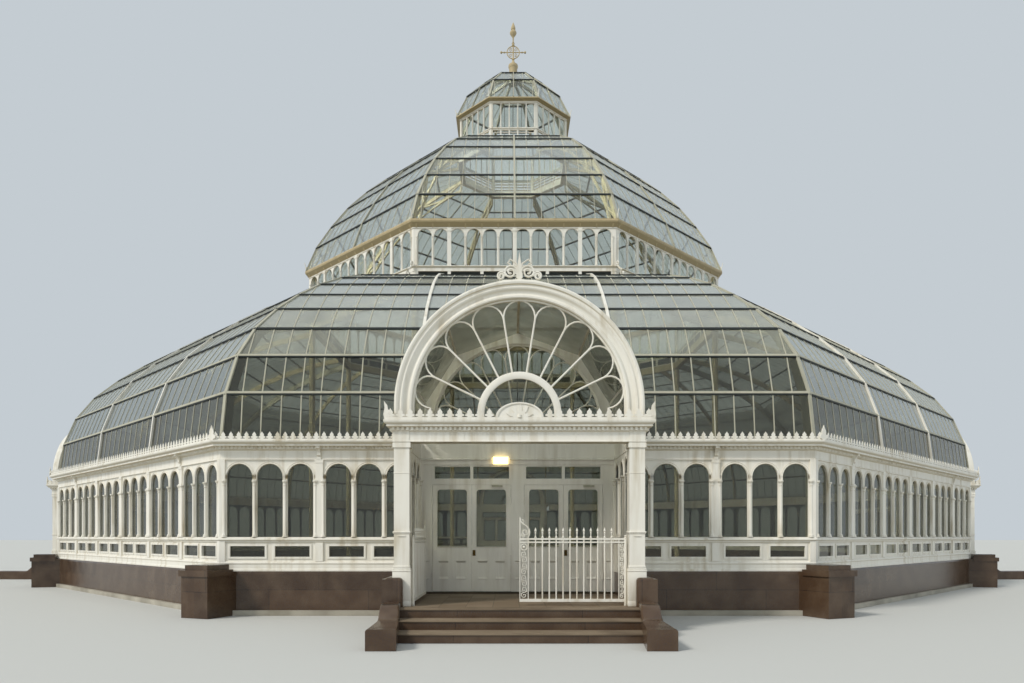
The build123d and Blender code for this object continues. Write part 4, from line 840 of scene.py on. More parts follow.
# %% Lower roof
STEEP, FLATTER = (1, 2), range(3, 11)
BARS_REACH, CAPPED = 6.0, (-5, 5)
for name, material in (("lower_roof_bars", BAR), ("lower_roof_caps", IRON), ("lower_roof_lap_shadows", LAP_SHADOW)):
    kinds = []
    for opened in (False, True):
        bm = bmesh.new()
        if material == BAR:
            glazing_bars(bm, LOWER, lines_every(PANE, BARS_REACH, CAPPED), 0.024, 0.019, opened)
            strips(bm, LOWER, STEEP, 0.0, 0.05, 0.036, opened)
            strips(bm, LOWER, FLATTER, 0.0, 0.02, 0.022, opened)
        elif material == IRON:
            glazing_bars(bm, LOWER, [place * PANE for place in CAPPED], 0.062, 0.055)
        else:
            # Below each joint a dark strip is painted shadow of the lap.
            strips(bm, LOWER, STEEP, 0.032, 0.0, 0.03, opened)
            strips(bm, LOWER, FLATTER, 0.055, 0.0, 0.034, opened)
        kinds.append(bm)
    piece(name, both_kinds(*kinds), material, smooth=0)

# %% Upper and lantern roofs
ROOFS = ("upper_roof", UPPER, PANE, range(1, 8), 0.055), ("lantern_roof", CAP, 0.36, (1, 2), 0.028)
for name, line, pitch, joints, middle_width in ROOFS:
    bars, lap_shadows = bmesh.new(), bmesh.new()
    glazing_bars(bars, line, lines_every(pitch, line[0][0] * TAN, without=(0,)), 0.02, 0.018)
    glazing_bars(bars, line, (0,), middle_width, 0.045)
    strips(bars, line, joints, 0.0, 0.02, 0.026)
    # The laps bmesh here holds dark strips below the joints, painted shadow of each lap.
    strips(lap_shadows, line, joints, 0.06, 0.0, 0.034)
    piece(f"{name}_bars", bars, BAR, ALL, smooth=0)
    piece(f"{name}_laps", lap_shadows, LAP_SHADOW, ALL, smooth=0)

hip, hips = bmesh.new(), bmesh.new()
for (low_r, low_z), (high_r, high_z) in zip(UPPER, UPPER[1:]):
    beam(hip, (0, -low_r / COS, low_z), (0, -high_r / COS, high_z), 0.076, 0.033, (0, -1, 1))
stamp(hips, kept(hip), [turned((place + 0.5) * TURN) for place in ALL])
piece("upper_roof_hips", hips, BAR, smooth=0)

# %% [markdown]
# ## Clerestory
# The second storey has a row of louvred vents at its foot, a moulded sill, and twelve arched lights a
# side. Its stronger posts stand a sixth, a half and five sixths of the way along.

# %% Clerestory
STOREY_HALF = STOREY * TAN - 0.09 / COS
STOREY_PITCH = STOREY_HALF / 6
STOREY_LIGHT = (STOREY_PITCH - 0.076) / 2
STOREY_SILL = STOREY_BASE + 0.494
STOREY_SPRING = STOREY_TOP - 0.044 - STOREY_LIGHT
STOREY_HEIGHTS = (STOREY_SILL, STOREY_SPRING, STOREY_TOP)
STOREY_HEAD = STOREY_SPRING - 0.02
STOREY_ROLL = [(0, -0.01), (0, 0.006), (0.012, 0.014), (0.03, 0.004), (0.03, -0.01)]
VENT_FOOT, VENT_TOP = STOREY_BASE + 0.07, STOREY_BASE + 0.327
LINES = [place * STOREY_PITCH for place in range(-6, 7)]
STRONG_POSTS = (2, 6, 10)

one = bmesh.new()
light(one, STOREY_LIGHT, STOREY_PITCH, STOREY_HEIGHTS, STOREY, STOREY_ROLL, STOREY_HEAD, 10)
side, vents = bmesh.new(), bmesh.new()
stamp(side, kept(one), [at((place - 5.5) * STOREY_PITCH) for place in range(12)])
for place, u in enumerate(LINES):
    column(side, STOREY_SILL + 0.01, STOREY_HEAD, 0.017, (u, STOREY + 0.008), 6)
    if place in STRONG_POSTS:
        block(side, u - 0.06, u + 0.06, STOREY - 0.02, STOREY + 0.03, STOREY_SILL, STOREY_TOP)
        block(side, u - 0.075, u + 0.075, STOREY, STOREY + 0.042, STOREY_TOP - 0.12, STOREY_TOP - 0.06)
foot = [(-0.1, 0), (0.02, 0), (0.02, 0.05), (0, 0.07), (-0.1, 0.07)]
sill = [(-0.1, VENT_TOP - STOREY_SILL), (0.012, VENT_TOP - STOREY_SILL), (0.012, -0.06), (0.03, -0.045),
    (0.05, -0.03), (0.05, -0.01), (0.03, 0), (-0.1, 0)]
head = [(-0.02, -0.035), (0.018, -0.03), (0.024, 0), (-0.02, 0)]
for outline, level in ((foot, STOREY_BASE), (sill, STOREY_SILL), (head, STOREY_TOP)):
    moulding(side, shifted(outline, STOREY, level))
for u in LINES[::2]:
    block(side, u - 0.05, u + 0.05, STOREY - 0.1, STOREY + 0.008, STOREY_BASE, VENT_TOP)
slat = [(-0.055, 0.035), (-0.065, 0.04), (-0.02, 0), (-0.01, -0.005)]
for line, next_line in zip(LINES[::2], LINES[2::2]):
    left, right = line + 0.05, next_line - 0.05
    block(vents, left, right, STOREY - 0.09, STOREY - 0.06, VENT_FOOT, VENT_TOP)
    for place in range(5):
        moulding(vents, shifted(slat, STOREY, STOREY_BASE + 0.085 + place * 0.048), left, right)
piece("clerestory", side, IRON, ALL, replaces=["clerestory_walls"])
piece("clerestory_vents", vents, LOUVRE, ALL, smooth=0)

# %% [markdown]
# Ochre brackets and a bead run under the clerestory cornice. White scrolls stand upright on its
# corners, and scrolled consoles lean on the feet of the corner posts.

# %% Clerestory trimmings


def console(size, radius):
    """An S-shaped scroll on a foot, drawn in the front plane."""
    low = spiral((size * 0.62, size * 0.2), 0.25, 1.0, size * 0.04, size * 0.2, 1.4)
    high = spiral((size * 0.12, size * 0.86), 0.75, 1.5, size * 0.03, size * 0.13, 1.4)
    bridge = [(size * u, size * z) for u, z in ((0.58, 0.4), (0.4, 0.48), (0.26, 0.62), (0.16, 0.73))]
    bm = bmesh.new()
    wire(bm, low[::-1] + bridge + high, radius)
    block(bm, 0, size, -0.02, 0.02, 0, size * 0.05)
    return bm


def upright_scroll(height):
    """A scroll beside a spike, drawn in the front plane."""
    curl = spiral((-height * 0.25, height * 0.38), 0.0, 1.2, height * 0.06, height * 0.22, 1, 16)
    bm = bmesh.new()
    wire(bm, [(0, 0), (0, height * 0.3)] + curl, 0.012)
    wire(bm, [(0, 0), (0.01, height * 0.5), (0.05, height)], 0.014)
    return bm


side, corners = bmesh.new(), bmesh.new()
bracket = [(0, -0.02), (0.03, -0.01), (0.1, 0.115), (0, 0.115)]
for u in LINES:
    moulding(side, shifted(bracket, STOREY, STOREY_TOP), u - 0.02, u + 0.02)
bead = [(0.12, -0.07), (0.135, -0.06), (0.135, -0.045), (0.12, -0.035)]
moulding(side, shifted(bead, STOREY, STOREY_EAVES))
on_corner(corners, upright_scroll(0.3), STOREY + 0.105, STOREY_EAVES)
on_corner(corners, console(0.6, 0.026), STOREY + 0.01, STOREY_BASE + 0.03)
piece("clerestory_brackets", side, OCHRE, ALL)
piece("clerestory_scrolls", corners, IRON, ALL)

# %% [markdown]
# ## Lantern and finial
# The lantern is the third storey: slim uprights between three rails, open but for three slats along
# its foot. The finial above it is one turned drum and stem with a ringed cross and a torch.

# %% Lantern
LANTERN_HALF = LANTERN * TAN - 0.06 / COS
LANTERN_PITCH = 2 * LANTERN_HALF / 5
LANTERN_SILL = LANTERN_BASE + 0.59
LANTERN_HEAD = LANTERN_TOP - 0.07
RAILS = (LANTERN_BASE, LANTERN_BASE + 0.1), (LANTERN_SILL - 0.1, LANTERN_SILL), (LANTERN_HEAD, LANTERN_TOP)
side, corners = bmesh.new(), bmesh.new()
for place in range(-3, 3):
    u = (place + 0.5) * LANTERN_PITCH
    block(side, u - 0.024, u + 0.024, LANTERN - SKIN, LANTERN, LANTERN_BASE, LANTERN_TOP)
    column(side, LANTERN_SILL, LANTERN_HEAD, 0.014, (u, LANTERN + 0.006), 6)
for low, high in RAILS:
    block(side, -LANTERN_HALF, LANTERN_HALF, LANTERN - 0.06, LANTERN, low, high)
slat = [(-0.05, 0.036), (-0.045, 0.044), (-0.006, 0.008), (-0.011, 0)]
for place in range(3):
    level = LANTERN_BASE + 0.14 + place * 0.12
    moulding(side, shifted(slat, LANTERN, level), -LANTERN_HALF, LANTERN_HALF)
band = [(-0.02, 0), (0.022, 0.005), (0.03, 0.03), (0.014, 0.05), (-0.02, 0.055)]
for level in (LANTERN_BASE, LANTERN_SILL - 0.06, LANTERN_TOP - 0.03):
    moulding(side, shifted(band, LANTERN, level))
on_corner(corners, upright_scroll(0.27), LANTERN + 0.15, LANTERN_EAVES)
for bm in (side, corners):
    copies(bm, ALL)
stamp(side, kept(corners))
piece("lantern", side, IRON, replaces=["lantern_walls"])

# %% Finial
DRUM = [(0, 0), (0.183, 0), (0.19, 0.03), (0.172, 0.06), (0.165, 0.1), (0.165, 0.42), (0.175, 0.45),
    (0.19, 0.47), (0.195, 0.53), (0.185, 0.58), (0.09, 0.595), (0.075, 0.63), (0.07, 0.68), (0.06, 0.72),
    (0.034, 0.77), (0.045, 0.79), (0.06, 0.81), (0.045, 0.83), (0.03, 0.86)]
STEM = [(0.028, 1.34), (0.045, 1.36), (0.06, 1.39), (0.05, 1.42), (0.045, 1.45), (0.06, 1.47), (0.03, 1.49)]
TORCH = [(0.024, 1.6), (0.03, 1.68), (0.045, 1.72), (0.085, 1.78), (0.125, 1.84), (0.14, 1.89), (0.125, 1.94),
    (0.085, 1.98), (0.07, 2.0), (0.085, 2.02), (0.095, 2.06), (0.085, 2.12), (0.055, 2.2), (0.03, 2.27),
    (0, 2.334)]
CROSS = TIP + 1.1
finial = bmesh.new()
turning(finial, shifted(DRUM + STEM + TORCH, 0, TIP), 20)
wire(finial, circle((0, CROSS), 0.251, 32), 0.02, closed=True, sides=2)
for way in (-1, 1):
    wire(finial, [(0, CROSS), (way * 0.46, CROSS)], 0.02, sides=2)
    for middle, size in ((0.485, 0.05), (0.36, 0.036)):
        ball(finial, at(way * middle, 0, CROSS), (size * 0.9, size, size))
for place in range(4):
    angle = math.tau * (place + 0.5) / 4
    hub = (0.14 * math.cos(angle), CROSS + 0.14 * math.sin(angle))
    wire(finial, spiral(hub, place / 4 - 0.1, place / 4 + 0.9, 0.015, 0.07, 1.2), 0.012)
piece("finial_turned", finial, OCHRE, smooth=40, replaces=["finial"])

# %% [markdown]
# ## Porches
# The four porches are alike: two piers, side walls with arched lights, a great moulded arch with a
# fanlight, and a glass vault that runs back to a second arch over the doors. Each piece is drawn on
# the front side and turned to the others.

# %% Porch side walls
PORCH_PITCH = (PIER_BACK - WALL - 0.163) / 4
PORCH_EDGE_STRIP = 0.0815
PORCH_WALL, PORCH_WALL_IN = 2.077, 1.987
PORCH_LIGHT, PORCH_WINDOW = 0.21, 0.22
PORCH_ROLL = [(0, -0.01), (0, 0.008), (0.012, 0.02), (0.022, 0.01), (0.036, 0.01), (0.044, 0.018),
    (0.052, -0.01)]
BACK_ROLL = [(share, -0.008 - out) for share, out in PORCH_ROLL]
HEIGHTS = (SILL_TOP, SPRING, WALL_TOP)
DADO = ((1.968, BASE, SILL), (1.95, SILL, 1.5), (1.935, 1.5, 1.56), (1.95, 1.56, SILL_TOP))
OUTWARDS = turned(math.pi / 2)
side, one = bmesh.new(), bmesh.new()
half = PORCH_PITCH / 2
light(one, PORCH_LIGHT, PORCH_PITCH, HEIGHTS, 0, PORCH_ROLL, COLUMN_TOP)
for low, high in ((BASE_TOP, WINDOW_LOW), (WINDOW_HIGH, SILL)):
    block(one, -half, half, -SKIN, 0, low, high)
for near, far in ((-half, -PORCH_WINDOW), (PORCH_WINDOW, half)):
    block(one, near, far, -SKIN, 0, WINDOW_LOW, WINDOW_HIGH)
low_window(one, 0, 0.225, 0, 0.245)
for u in (-half, half):
    for r in (0.018, -0.098):
        column(one, SILL_TOP, COLUMN_TOP, 0.026, (u, r))
light(one, PORCH_LIGHT, PORCH_PITCH, HEIGHTS, -0.066, BACK_ROLL, COLUMN_TOP, thick=0.014)
first = WALL + PORCH_EDGE_STRIP + half
spots = [at(PORCH_WALL, first + place * PORCH_PITCH) @ OUTWARDS for place in range(4)]
stamp(side, kept(one), spots)
for outline in (BASE_OUTLINE, SILL_OUTLINE):
    run = bmesh.new()
    moulding(run, outline, 0, PIER_BACK - WALL)
    stamp(side, kept(run), [at(PORCH_WALL, PIER_BACK) @ OUTWARDS])
for near, far in ((WALL, WALL + PORCH_EDGE_STRIP), (PIER_BACK - PORCH_EDGE_STRIP, PIER_BACK)):
    block(side, PORCH_WALL_IN, PORCH_WALL, near, far, BASE, WALL_TOP)
for inside, low, high in DADO:
    block(side, inside, PORCH_WALL_IN + 0.001, WALL + 0.02, PIER_BACK, low, high)
mirror(side)
piece("porch_sides", side, IRON, ENTRANCES, replaces=["porch_side_walls"])

linings = bmesh.new()
block(linings, PORCH_WALL_IN, PORCH_WALL, WALL, PIER_BACK, FLOOR, BASE)
mirror(linings)
piece("porch_inner_plinths", linings, GRANITE, ENTRANCES, smooth=0)

# %% Great arch and inner arch
GREAT_ROLLS = [(0, -0.19), (0, -0.035), (0.018, -0.02), (0.045, -0.018), (0.06, -0.035), (0.085, -0.05),
    (0.115, -0.045), (0.14, -0.025), (0.16, -0.005), (0.185, 0), (0.2, -0.015), (0.225, -0.015), (0.24, 0.01),
    (0.268, 0.02), (0.295, 0.012), (0.305, -0.01), (0.305, -0.19)]
INNER_ROLLS = [(INNER_ARCH, -0.09), (INNER_ARCH, 0.005), (INNER_ARCH + 0.02, 0.018),
    (INNER_ARCH + 0.05, 0.006), (VAULT - 0.05, 0.006), (VAULT - 0.02, 0.018), (VAULT + 0.02, 0.005),
    (VAULT + 0.02, -0.09)]
great, inner_arch = bmesh.new(), bmesh.new()
arch(great, shifted(GREAT_ROLLS, ARCH_INNER, PIER_FRONT), ARCH_CENTRE, 48, foot=EAVES)
arch(inner_arch, shifted(INNER_ROLLS, 0, WALL), ARCH_CENTRE, 40, foot=EAVES)
copies(inner_arch, ENTRANCES)
piece("great_arch", great, IRON, ENTRANCES, replaces=["porch_arches"])

# %% [markdown]
# The fanlight's bars start at a half ring and fork near the rim. The forks of neighbours meet in
# round petal heads, and at each end half a petal comes down to the cornice.

# %% Fanlights
FORK_TURN, FORK_STEPS, BAR_EVERY = 10, 6, 20


def fanlight(bm, r, rim, ring_inner, depth, radius):
    """Eight forked bars between a half ring and the rim of an arch."""
    half, rim_width, ring_outer, ring_centre = depth / 2, 0.03, ring_inner + 0.12, EAVES + 0.135
    rim_section = [(-rim_width, -half), (-rim_width, half), (0, half), (0, -half)]
    arch(bm, shifted(rim_section, rim, r), ARCH_CENTRE, 40, foot=EAVES)
    ring_section = [(0, -half), (0, half * 0.6), (0.02, half), (0.1, half), (0.12, half * 0.6), (0.12, -half)]
    arch(bm, shifted(ring_section, ring_inner, r), ring_centre, 28, foot=EAVES)
    start, reach, fork = ring_outer - 0.02, rim - rim_width / 2, 0.74

    def spot(degrees, share):
        turn = math.radians(degrees)
        centre = ring_centre + (ARCH_CENTRE - ring_centre) * share
        distance = start + (reach - start) * share
        return (distance * math.cos(turn), centre + distance * math.sin(turn))

    def fork_curve(bar, way):
        """The fork leaves along its bar and ends along the rim, ten degrees further round."""
        turns = [math.pi / 2 * step / FORK_STEPS for step in range(FORK_STEPS + 1)]
        return [spot(bar + way * FORK_TURN * (1 - math.cos(turn)), fork + (1 - fork) * math.sin(turn))
            for turn in turns]

    for bar in range(BAR_EVERY, 180, BAR_EVERY):
        wire(bm, [spot(bar, 0), spot(bar, fork)], radius, r)
        for way in (-1, 1):
            wire(bm, fork_curve(bar, way), radius * 0.85, r)
    for bar, way in ((0, 1), (180, -1)):
        curve = fork_curve(bar, way)
        wire(bm, [(curve[0][0], EAVES)] + curve, radius * 0.85, r)
    wire(bm, [(-rim, EAVES + 0.02), (rim, EAVES + 0.02)], radius, r)


front = bmesh.new()
fanlight(front, PIER_FRONT - 0.115, ARCH_INNER, 0.594, 0.05, 0.018)
fanlight(inner_arch, WALL - 0.03, INNER_ARCH, 0.46, 0.045, 0.016)
piece("fanlights", front, IRON, ENTRANCES, replaces=["porch_fanlights"])
piece("inner_arch", inner_arch, IRON, replaces=["vault_arches"])

# %% [markdown]
# ## Porch beams, piers and ornament
# The beams over the piers carry the same cornice as the eaves, a little smaller, with its own
# cresting. Collars band the piers. The crown over the arch is a leaf between scrolls.

# %% Porch beams
PORCH_CORNICE = [(-PIER_WIDTH, 3.205), (0.024, 3.205), (0.024, 3.222), (0.012, 3.235), (0.012, 3.37),
    (0.03, 3.385), (0.035, 3.392), (0.035, 3.44), (0.085, 3.446), (0.11, 3.455), (0.11, 3.488), (0.125, 3.5),
    (0.145, 3.515), (0.154, 3.54), (0.154, EAVES), (-PIER_WIDTH, EAVES)]
SIDE_BEAM_IN = -0.129
SIDE_DENTILS = 30


def porch_run(bm, section):
    """A section of (over, z) points run round the front and both sides of a porch, mitred."""
    verts = casting(bm, [(0, -PIER_FRONT - over, z) for over, z in section], (1, 0, 0))
    for place, vert in enumerate(verts):
        reach = PIER - vert.co.y - PIER_FRONT
        vert.co.x = -reach if place < len(section) else reach
    inner = [(max(over, SIDE_BEAM_IN), z) for over, z in section]
    for way in (-1, 1):
        verts = casting(bm, [(way * (PIER + over), 0, z) for over, z in inner], (0, 1, 0))
        for place, vert in enumerate(verts):
            vert.co.y = -PIER_FRONT - (abs(vert.co.x) - PIER) if place < len(section) else -WALL - 0.01


beams = bmesh.new()
porch_run(beams, PORCH_CORNICE)
dentils(beams, -PIER - 0.04, PIER + 0.04, 0.08, PIER_FRONT + 0.04, PIER_FRONT + 0.075)
middles, _ = evenly(WALL + 0.1, PIER_FRONT, (PIER_FRONT - WALL - 0.1) / SIDE_DENTILS)
for way in (-1, 1):
    edges = sorted((way * (PIER + 0.04), way * (PIER + 0.075)))
    for r in middles:
        block(beams, *edges, r - 0.02, r + 0.02, DENTIL_FOOT, DENTIL_TOP)
for u in (-0.94, 0, 0.94):
    block(beams, u - 0.008, u + 0.008, PIER_FRONT, PIER_FRONT + 0.018, 3.235, 3.37)
for way in (-1, 1):
    inside, outside = sorted((way * (PIER - PIER_WIDTH), way * PIER))
    block(beams, inside, outside, PIER_FRONT, PIER_FRONT + 0.022, 3.205, 3.385)
    block(beams, way * 2.037 - 0.05, way * 2.037 + 0.05, WALL, PIER_BACK, WALL_TOP, 3.206)
piece("porch_cornice", beams, IRON, ENTRANCES, replaces=["porch_front_beams", "porch_side_beams"])

# %% Porch cresting and crown
PORCH_LEAF, PORCH_CREST, PORCH_RAIL = 0.169, 0.19, 0.04
DISC, DISC_EDGE = 0.36, 0.42
HORN = [(0.03, 0), (0.045, 0.09), (0.025, 0.2), (0.035, 0.31), (-0.02, 0.24), (-0.03, 0.17), (-0.07, 0.15),
    (-0.09, 0.09), (-0.15, 0.08), (-0.17, 0)]
CROWN, CROWN_R = ARCH_CENTRE + PIER - 0.01, PIER_FRONT - 0.06
CROWN_FOOT = [(0, 0.02), (0.12, 0.005), (0.26, 0), (0.39, -0.03)]
CROWN_STEM = [(0.03, 0.155), (0.05, 0.3), (0.15, 0.37), (0.2, 0.31), (0.15, 0.28)]
crest = bmesh.new()
edge = PIER_FRONT + 0.13
for start, end in ((-PIER - 0.12, -DISC_EDGE), (DISC_EDGE, PIER + 0.12)):
    cresting(crest, start, end, PORCH_LEAF, edge, EAVES, PORCH_CREST, PORCH_RAIL)
ribbon = [(DISC, -0.014), (DISC, 0.016), (DISC + 0.04, 0.016), (DISC + 0.04, -0.014)]
half_disc = bmesh.new()
arch(half_disc, shifted(ribbon, 0, edge), 0, 20)
plate(half_disc, arch_points(DISC + 0.01, 0, 16), edge, 0.012)
bmesh.ops.scale(half_disc, verts=half_disc.verts, vec=(1, 1, 0.62))
stamp(crest, kept(half_disc), [at(0, 0, EAVES + PORCH_RAIL)])
block(crest, -DISC_EDGE, DISC_EDGE, edge - 0.014, edge + 0.014, EAVES, EAVES + PORCH_RAIL)
boss = [(0, EAVES + 0.03), (0.04, EAVES + 0.03), (0.04, EAVES + 0.075), (0, EAVES + 0.09)]
turning(crest, boss, 12, (0, edge))
stamp(crest, kept(leaf(0.11, 0.2, 0.022)), [at(0, edge + 0.002 * abs(turn), EAVES + 0.045)
    @ turned(turn * TURN, "Y") @ at(z=0.03) for turn in (-1.7, -0.85, 0.1, 0.9, 1.75)])
for way in (-1, 1):
    corner = PIER + 0.11
    plate(crest, shifted(HORN, corner, EAVES, way), edge, 0.02)
    wire(crest, shifted(spiral((-0.06, 0.075), 0.0, 1.0, 0.01, 0.045, 1.3), corner, EAVES, way), 0.01, edge)
    one = bmesh.new()
    cresting(one, 0, PIER_FRONT - WALL - 0.15, PORCH_LEAF, 0, 0, PORCH_CREST, PORCH_RAIL)
    start = edge - 0.03 if way > 0 else WALL + 0.27
    stamp(crest, kept(one), [at(way * (PIER + 0.13), start, EAVES) @ turned(way * math.pi / 2)])
for way in (-1, 1):
    for middle, height, outer, turns in ((0.15, 0.155, 0.12, 1.5), (0.31, 0.09, 0.075, 1.3)):
        curl = spiral((0, 0), 0.5, -0.75, 0.018, outer, turns)
        wire(crest, shifted(curl, middle, CROWN + height, way), 0.019, CROWN_R)
    for line, radius in ((CROWN_FOOT, 0.022), (CROWN_STEM, 0.016)):
        wire(crest, shifted(line, 0, CROWN, way), radius, CROWN_R)
stamp(crest, kept(leaf(0.11, 0.5, 0.03)), [at(0, CROWN_R, CROWN)])
piece("porch_cresting", crest, IRON, ENTRANCES)

# %% Piers and vault lines
COLLARS = ((0.024, FLOOR, 0.53, 0.008), (0.023, 0.53, 1.02, 0.004), (0.03, 1.02, 1.05, 0.008),
    (0.023, 1.05, 1.08, 0.01), (0.01, 1.08, 1.12, 0.008), (0.012, 1.66, 1.672, 0.004),
    (0.02, 1.672, 1.7, 0.01), (0.005, 2.675, 2.69, 0.002), (0.014, 3.15, 3.206, 0.006))
piers = bmesh.new()
left, right, near, far = PIER - PIER_WIDTH, PIER, PIER_BACK, PIER_FRONT
for over, low, high, soft in COLLARS:
    band = block(piers, left - over, right + over, near - over, far + over, low, high)
    soften(piers, edges_of(band), soft, 2)
block(piers, PIER - 0.191, PIER - 0.071, PIER_FRONT, PIER_FRONT + 0.014, 1.615, 1.63)
mirror(piers)
piece("pier_mouldings", piers, IRON, ENTRANCES)

VAULT_PANE = 0.385
lap_shadows = bmesh.new()
half_line = [(VAULT, EAVES), *VAULT_LINE]
line = half_line + [(-u, z) for u, z in half_line[-2::-1]]
for place in range(1, 7):
    r = PIER_FRONT - 0.19 - place * VAULT_PANE
    wire(lap_shadows, [(u * 1.012, z + 0.012) for u, z in line], 0.012, r)
piece("vault_laps", lap_shadows, IRON, ENTRANCES)

# %% [markdown]
# The steps: dark risers under paler treads, whose pale colour is partly wear and partly a painted
# highlight on their lit tops. The inner faces of the cheek walls run in towards the front, so each cheek
# is widest at its front block. A rounded block stands at the head of each.

# %% Steps and cheeks
PORCH_EDGE = PIER_FRONT + 0.19
CHEEK_FRONT = 19.46
CHEEK_BLOCK, CHEEK_TOP = 0.305, 0.53
RAMP_END = CHEEK_FRONT - 1.08
RAMP_START, RAMP_STEPS = PORCH_EDGE + 0.4, 8
STEP_HALF, TREAD_THICK = 1.98, 0.02
CHEEK_IN, CHEEK_IN_RUN, CHEEK_OUT, CHEEK_OUT_RUN = 1.762, 0.115, 2.2, 0.025
risers, treads, cheeks = bmesh.new(), bmesh.new(), bmesh.new()
edge, top = PORCH_EDGE, FLOOR
for tread in STEP_TREADS:
    block(risers, -STEP_HALF, STEP_HALF, PIER_FRONT, edge + tread - 0.02, 0, top - TREAD_THICK)
    block(treads, -STEP_HALF, STEP_HALF, edge - 0.02, edge + tread, top - TREAD_THICK, top)
    edge, top = edge + tread, top - FLOOR / 3
profile = [(PIER_FRONT, 0), (CHEEK_FRONT, 0), (CHEEK_FRONT, CHEEK_BLOCK)]
for place in range(RAMP_STEPS + 1):
    share = place / RAMP_STEPS
    rise = (CHEEK_TOP - CHEEK_BLOCK) * (1 - math.cos(math.pi * share)) / 2
    profile.append((RAMP_END + (RAMP_START - RAMP_END) * share, CHEEK_BLOCK + rise))
profile.append((PIER_FRONT, CHEEK_TOP))
for place, vert in enumerate(moulding(cheeks, profile)):
    back = CHEEK_FRONT + vert.co.y
    inside, outside = CHEEK_IN + back * CHEEK_IN_RUN, CHEEK_OUT + back * CHEEK_OUT_RUN
    vert.co.x = inside if place < len(profile) else outside
# The edges along the top are rounded, and so are those of the block at its head.
rim = [line for line in cheeks.edges if min(vert.co.z for vert in line.verts) > 0.28
    and abs(line.verts[0].co.x - line.verts[1].co.x) < 0.1]
soften(cheeks, rim, 0.035, 3)
head = block(cheeks, 1.95, 2.25, PIER_FRONT + 0.001, PORCH_EDGE - 0.001, 0.4, 0.925)
soften(cheeks, edges_of(head), 0.06, 4)
mirror(cheeks)
piece("step_risers", risers, GRANITE, ENTRANCES, replaces=["porch_steps"])
piece("cheek_walls", cheeks, GRANITE, ENTRANCES, replaces=["step_cheeks"])
piece("worn_treads_with_painted_highlight", treads, TREAD, ENTRANCES)

# %% [markdown]
# ## Doors and gates
# The door leaves stay as the CAD has them. On the front entrance the mouldings round the lights and
# panels, the locks and the closers ride on their leaves and swing with them. On the other entrances
# the leaves are fixed. Each sunk panel has a sloping ledge and hood.

# %% Door mouldings
MEET, JAMB, MULLION_HALF = 0.94, 1.745, 0.135
PANEL_LOW, PANEL_HIGH = 0.736, 1.121
LIGHT_FOOT, LIGHT_TOP, LIGHT_CORNER = 1.395, 2.582, 0.07
LOCK_MIDDLE = 1.275
LEDGE_SECTION = [(-0.012, 0), (0.016, 0), (0.016, 0.008), (-0.012, 0.05)]
HOOD_SECTION = [(-0.012, 0), (0.018, 0), (0.018, -0.008), (-0.012, -0.05)]
HEAD_SECTION = [(0.02, 3.175), (0.06, 3.18), (0.06, 3.2), (0.02, 3.215)]
HEADS = (-0.16, 1.98), (-1.98, -0.53)
POST_LOW, POST_HIGH = 0.5, 3.0


def sunk_panel(bm, left, right):
    moulding(bm, shifted(LEDGE_SECTION, WALL, PANEL_LOW), left, right)
    moulding(bm, shifted(HOOD_SECTION, WALL, PANEL_HIGH), left, right)
    for u in (left, right - 0.01):
        block(bm, u, u + 0.01, WALL - 0.012, WALL + 0.005, PANEL_LOW, PANEL_HIGH)


def leaf_trim(bm, left, right):
    """Mouldings round the light and the panels of the leaf between two places."""
    near, far, middle = left + 0.088, right - 0.088, (left + right) / 2
    corner = (LIGHT_CORNER, LIGHT_TOP - LIGHT_CORNER, 12)
    line = [(near, LIGHT_FOOT), (far, LIGHT_FOOT)] + arch_points(*corner, far - LIGHT_CORNER)[:7]
    line += arch_points(*corner, near + LIGHT_CORNER)[6:]
    wire(bm, line, 0.012, WALL, closed=True)
    sunk_panel(bm, left + 0.118, middle - 0.077)
    sunk_panel(bm, middle + 0.077, right - 0.118)


def leaf_lock(bm, left, _):
    """The lock and knob at the left edge of a leaf."""
    u = left + 0.045
    block(bm, u - 0.03, u + 0.03, WALL, WALL + 0.006, LOCK_MIDDLE - 0.06, LOCK_MIDDLE + 0.06)
    rod(bm, [(u, -WALL, LOCK_MIDDLE), (u, -WALL - 0.035, LOCK_MIDDLE)], 0.01)
    ball(bm, at(u, WALL + 0.04, LOCK_MIDDLE), (0.027, 0.017, 0.027))


def leaf_closer(bm, left, right):
    """The closer's box at the head of a leaf, and the arm on it."""
    middle = (left + right) / 2 + 0.12
    block(bm, middle - 0.11, middle + 0.11, WALL, WALL + 0.045, 2.622, 2.66)
    block(bm, middle - 0.13, middle + 0.03, WALL + 0.012, WALL + 0.032, 2.662, 2.668)


INNER, OUTER = (MULLION_HALF + 0.005, MEET - 0.0025), (MEET + 0.0025, JAMB - 0.005)
LEAVES = {"outer_left": (-OUTER[1], -OUTER[0]), "inner_left": (-INNER[1], -INNER[0]),
    "inner_right": INNER, "outer_right": OUTER}
LOCKED = ("inner_left", "outer_right")
TRIMS = ("mouldings", leaf_trim, TIMBER, 35), ("lock", leaf_lock, BRASS, 35), ("closer", leaf_closer, BAR, 0)
fixed_trims = [bmesh.new() for _ in TRIMS]
for leaf_name, ends in LEAVES.items():
    for (trim, draw, material, smooth), fixed in zip(TRIMS, fixed_trims):
        if draw == leaf_trim or leaf_name in LOCKED:
            bm = bmesh.new()
            draw(bm, *ends)
            draw(fixed, *ends)
            piece(f"leaf_{leaf_name}_{trim}", bm, material, body=f"door_{leaf_name}", smooth=smooth)
for name, (_, _, material, _), fixed in zip(("mouldings", "locks", "closers"), TRIMS, fixed_trims):
    piece(f"fixed_leaf_{name}", fixed, material, ENTRANCES[1:])

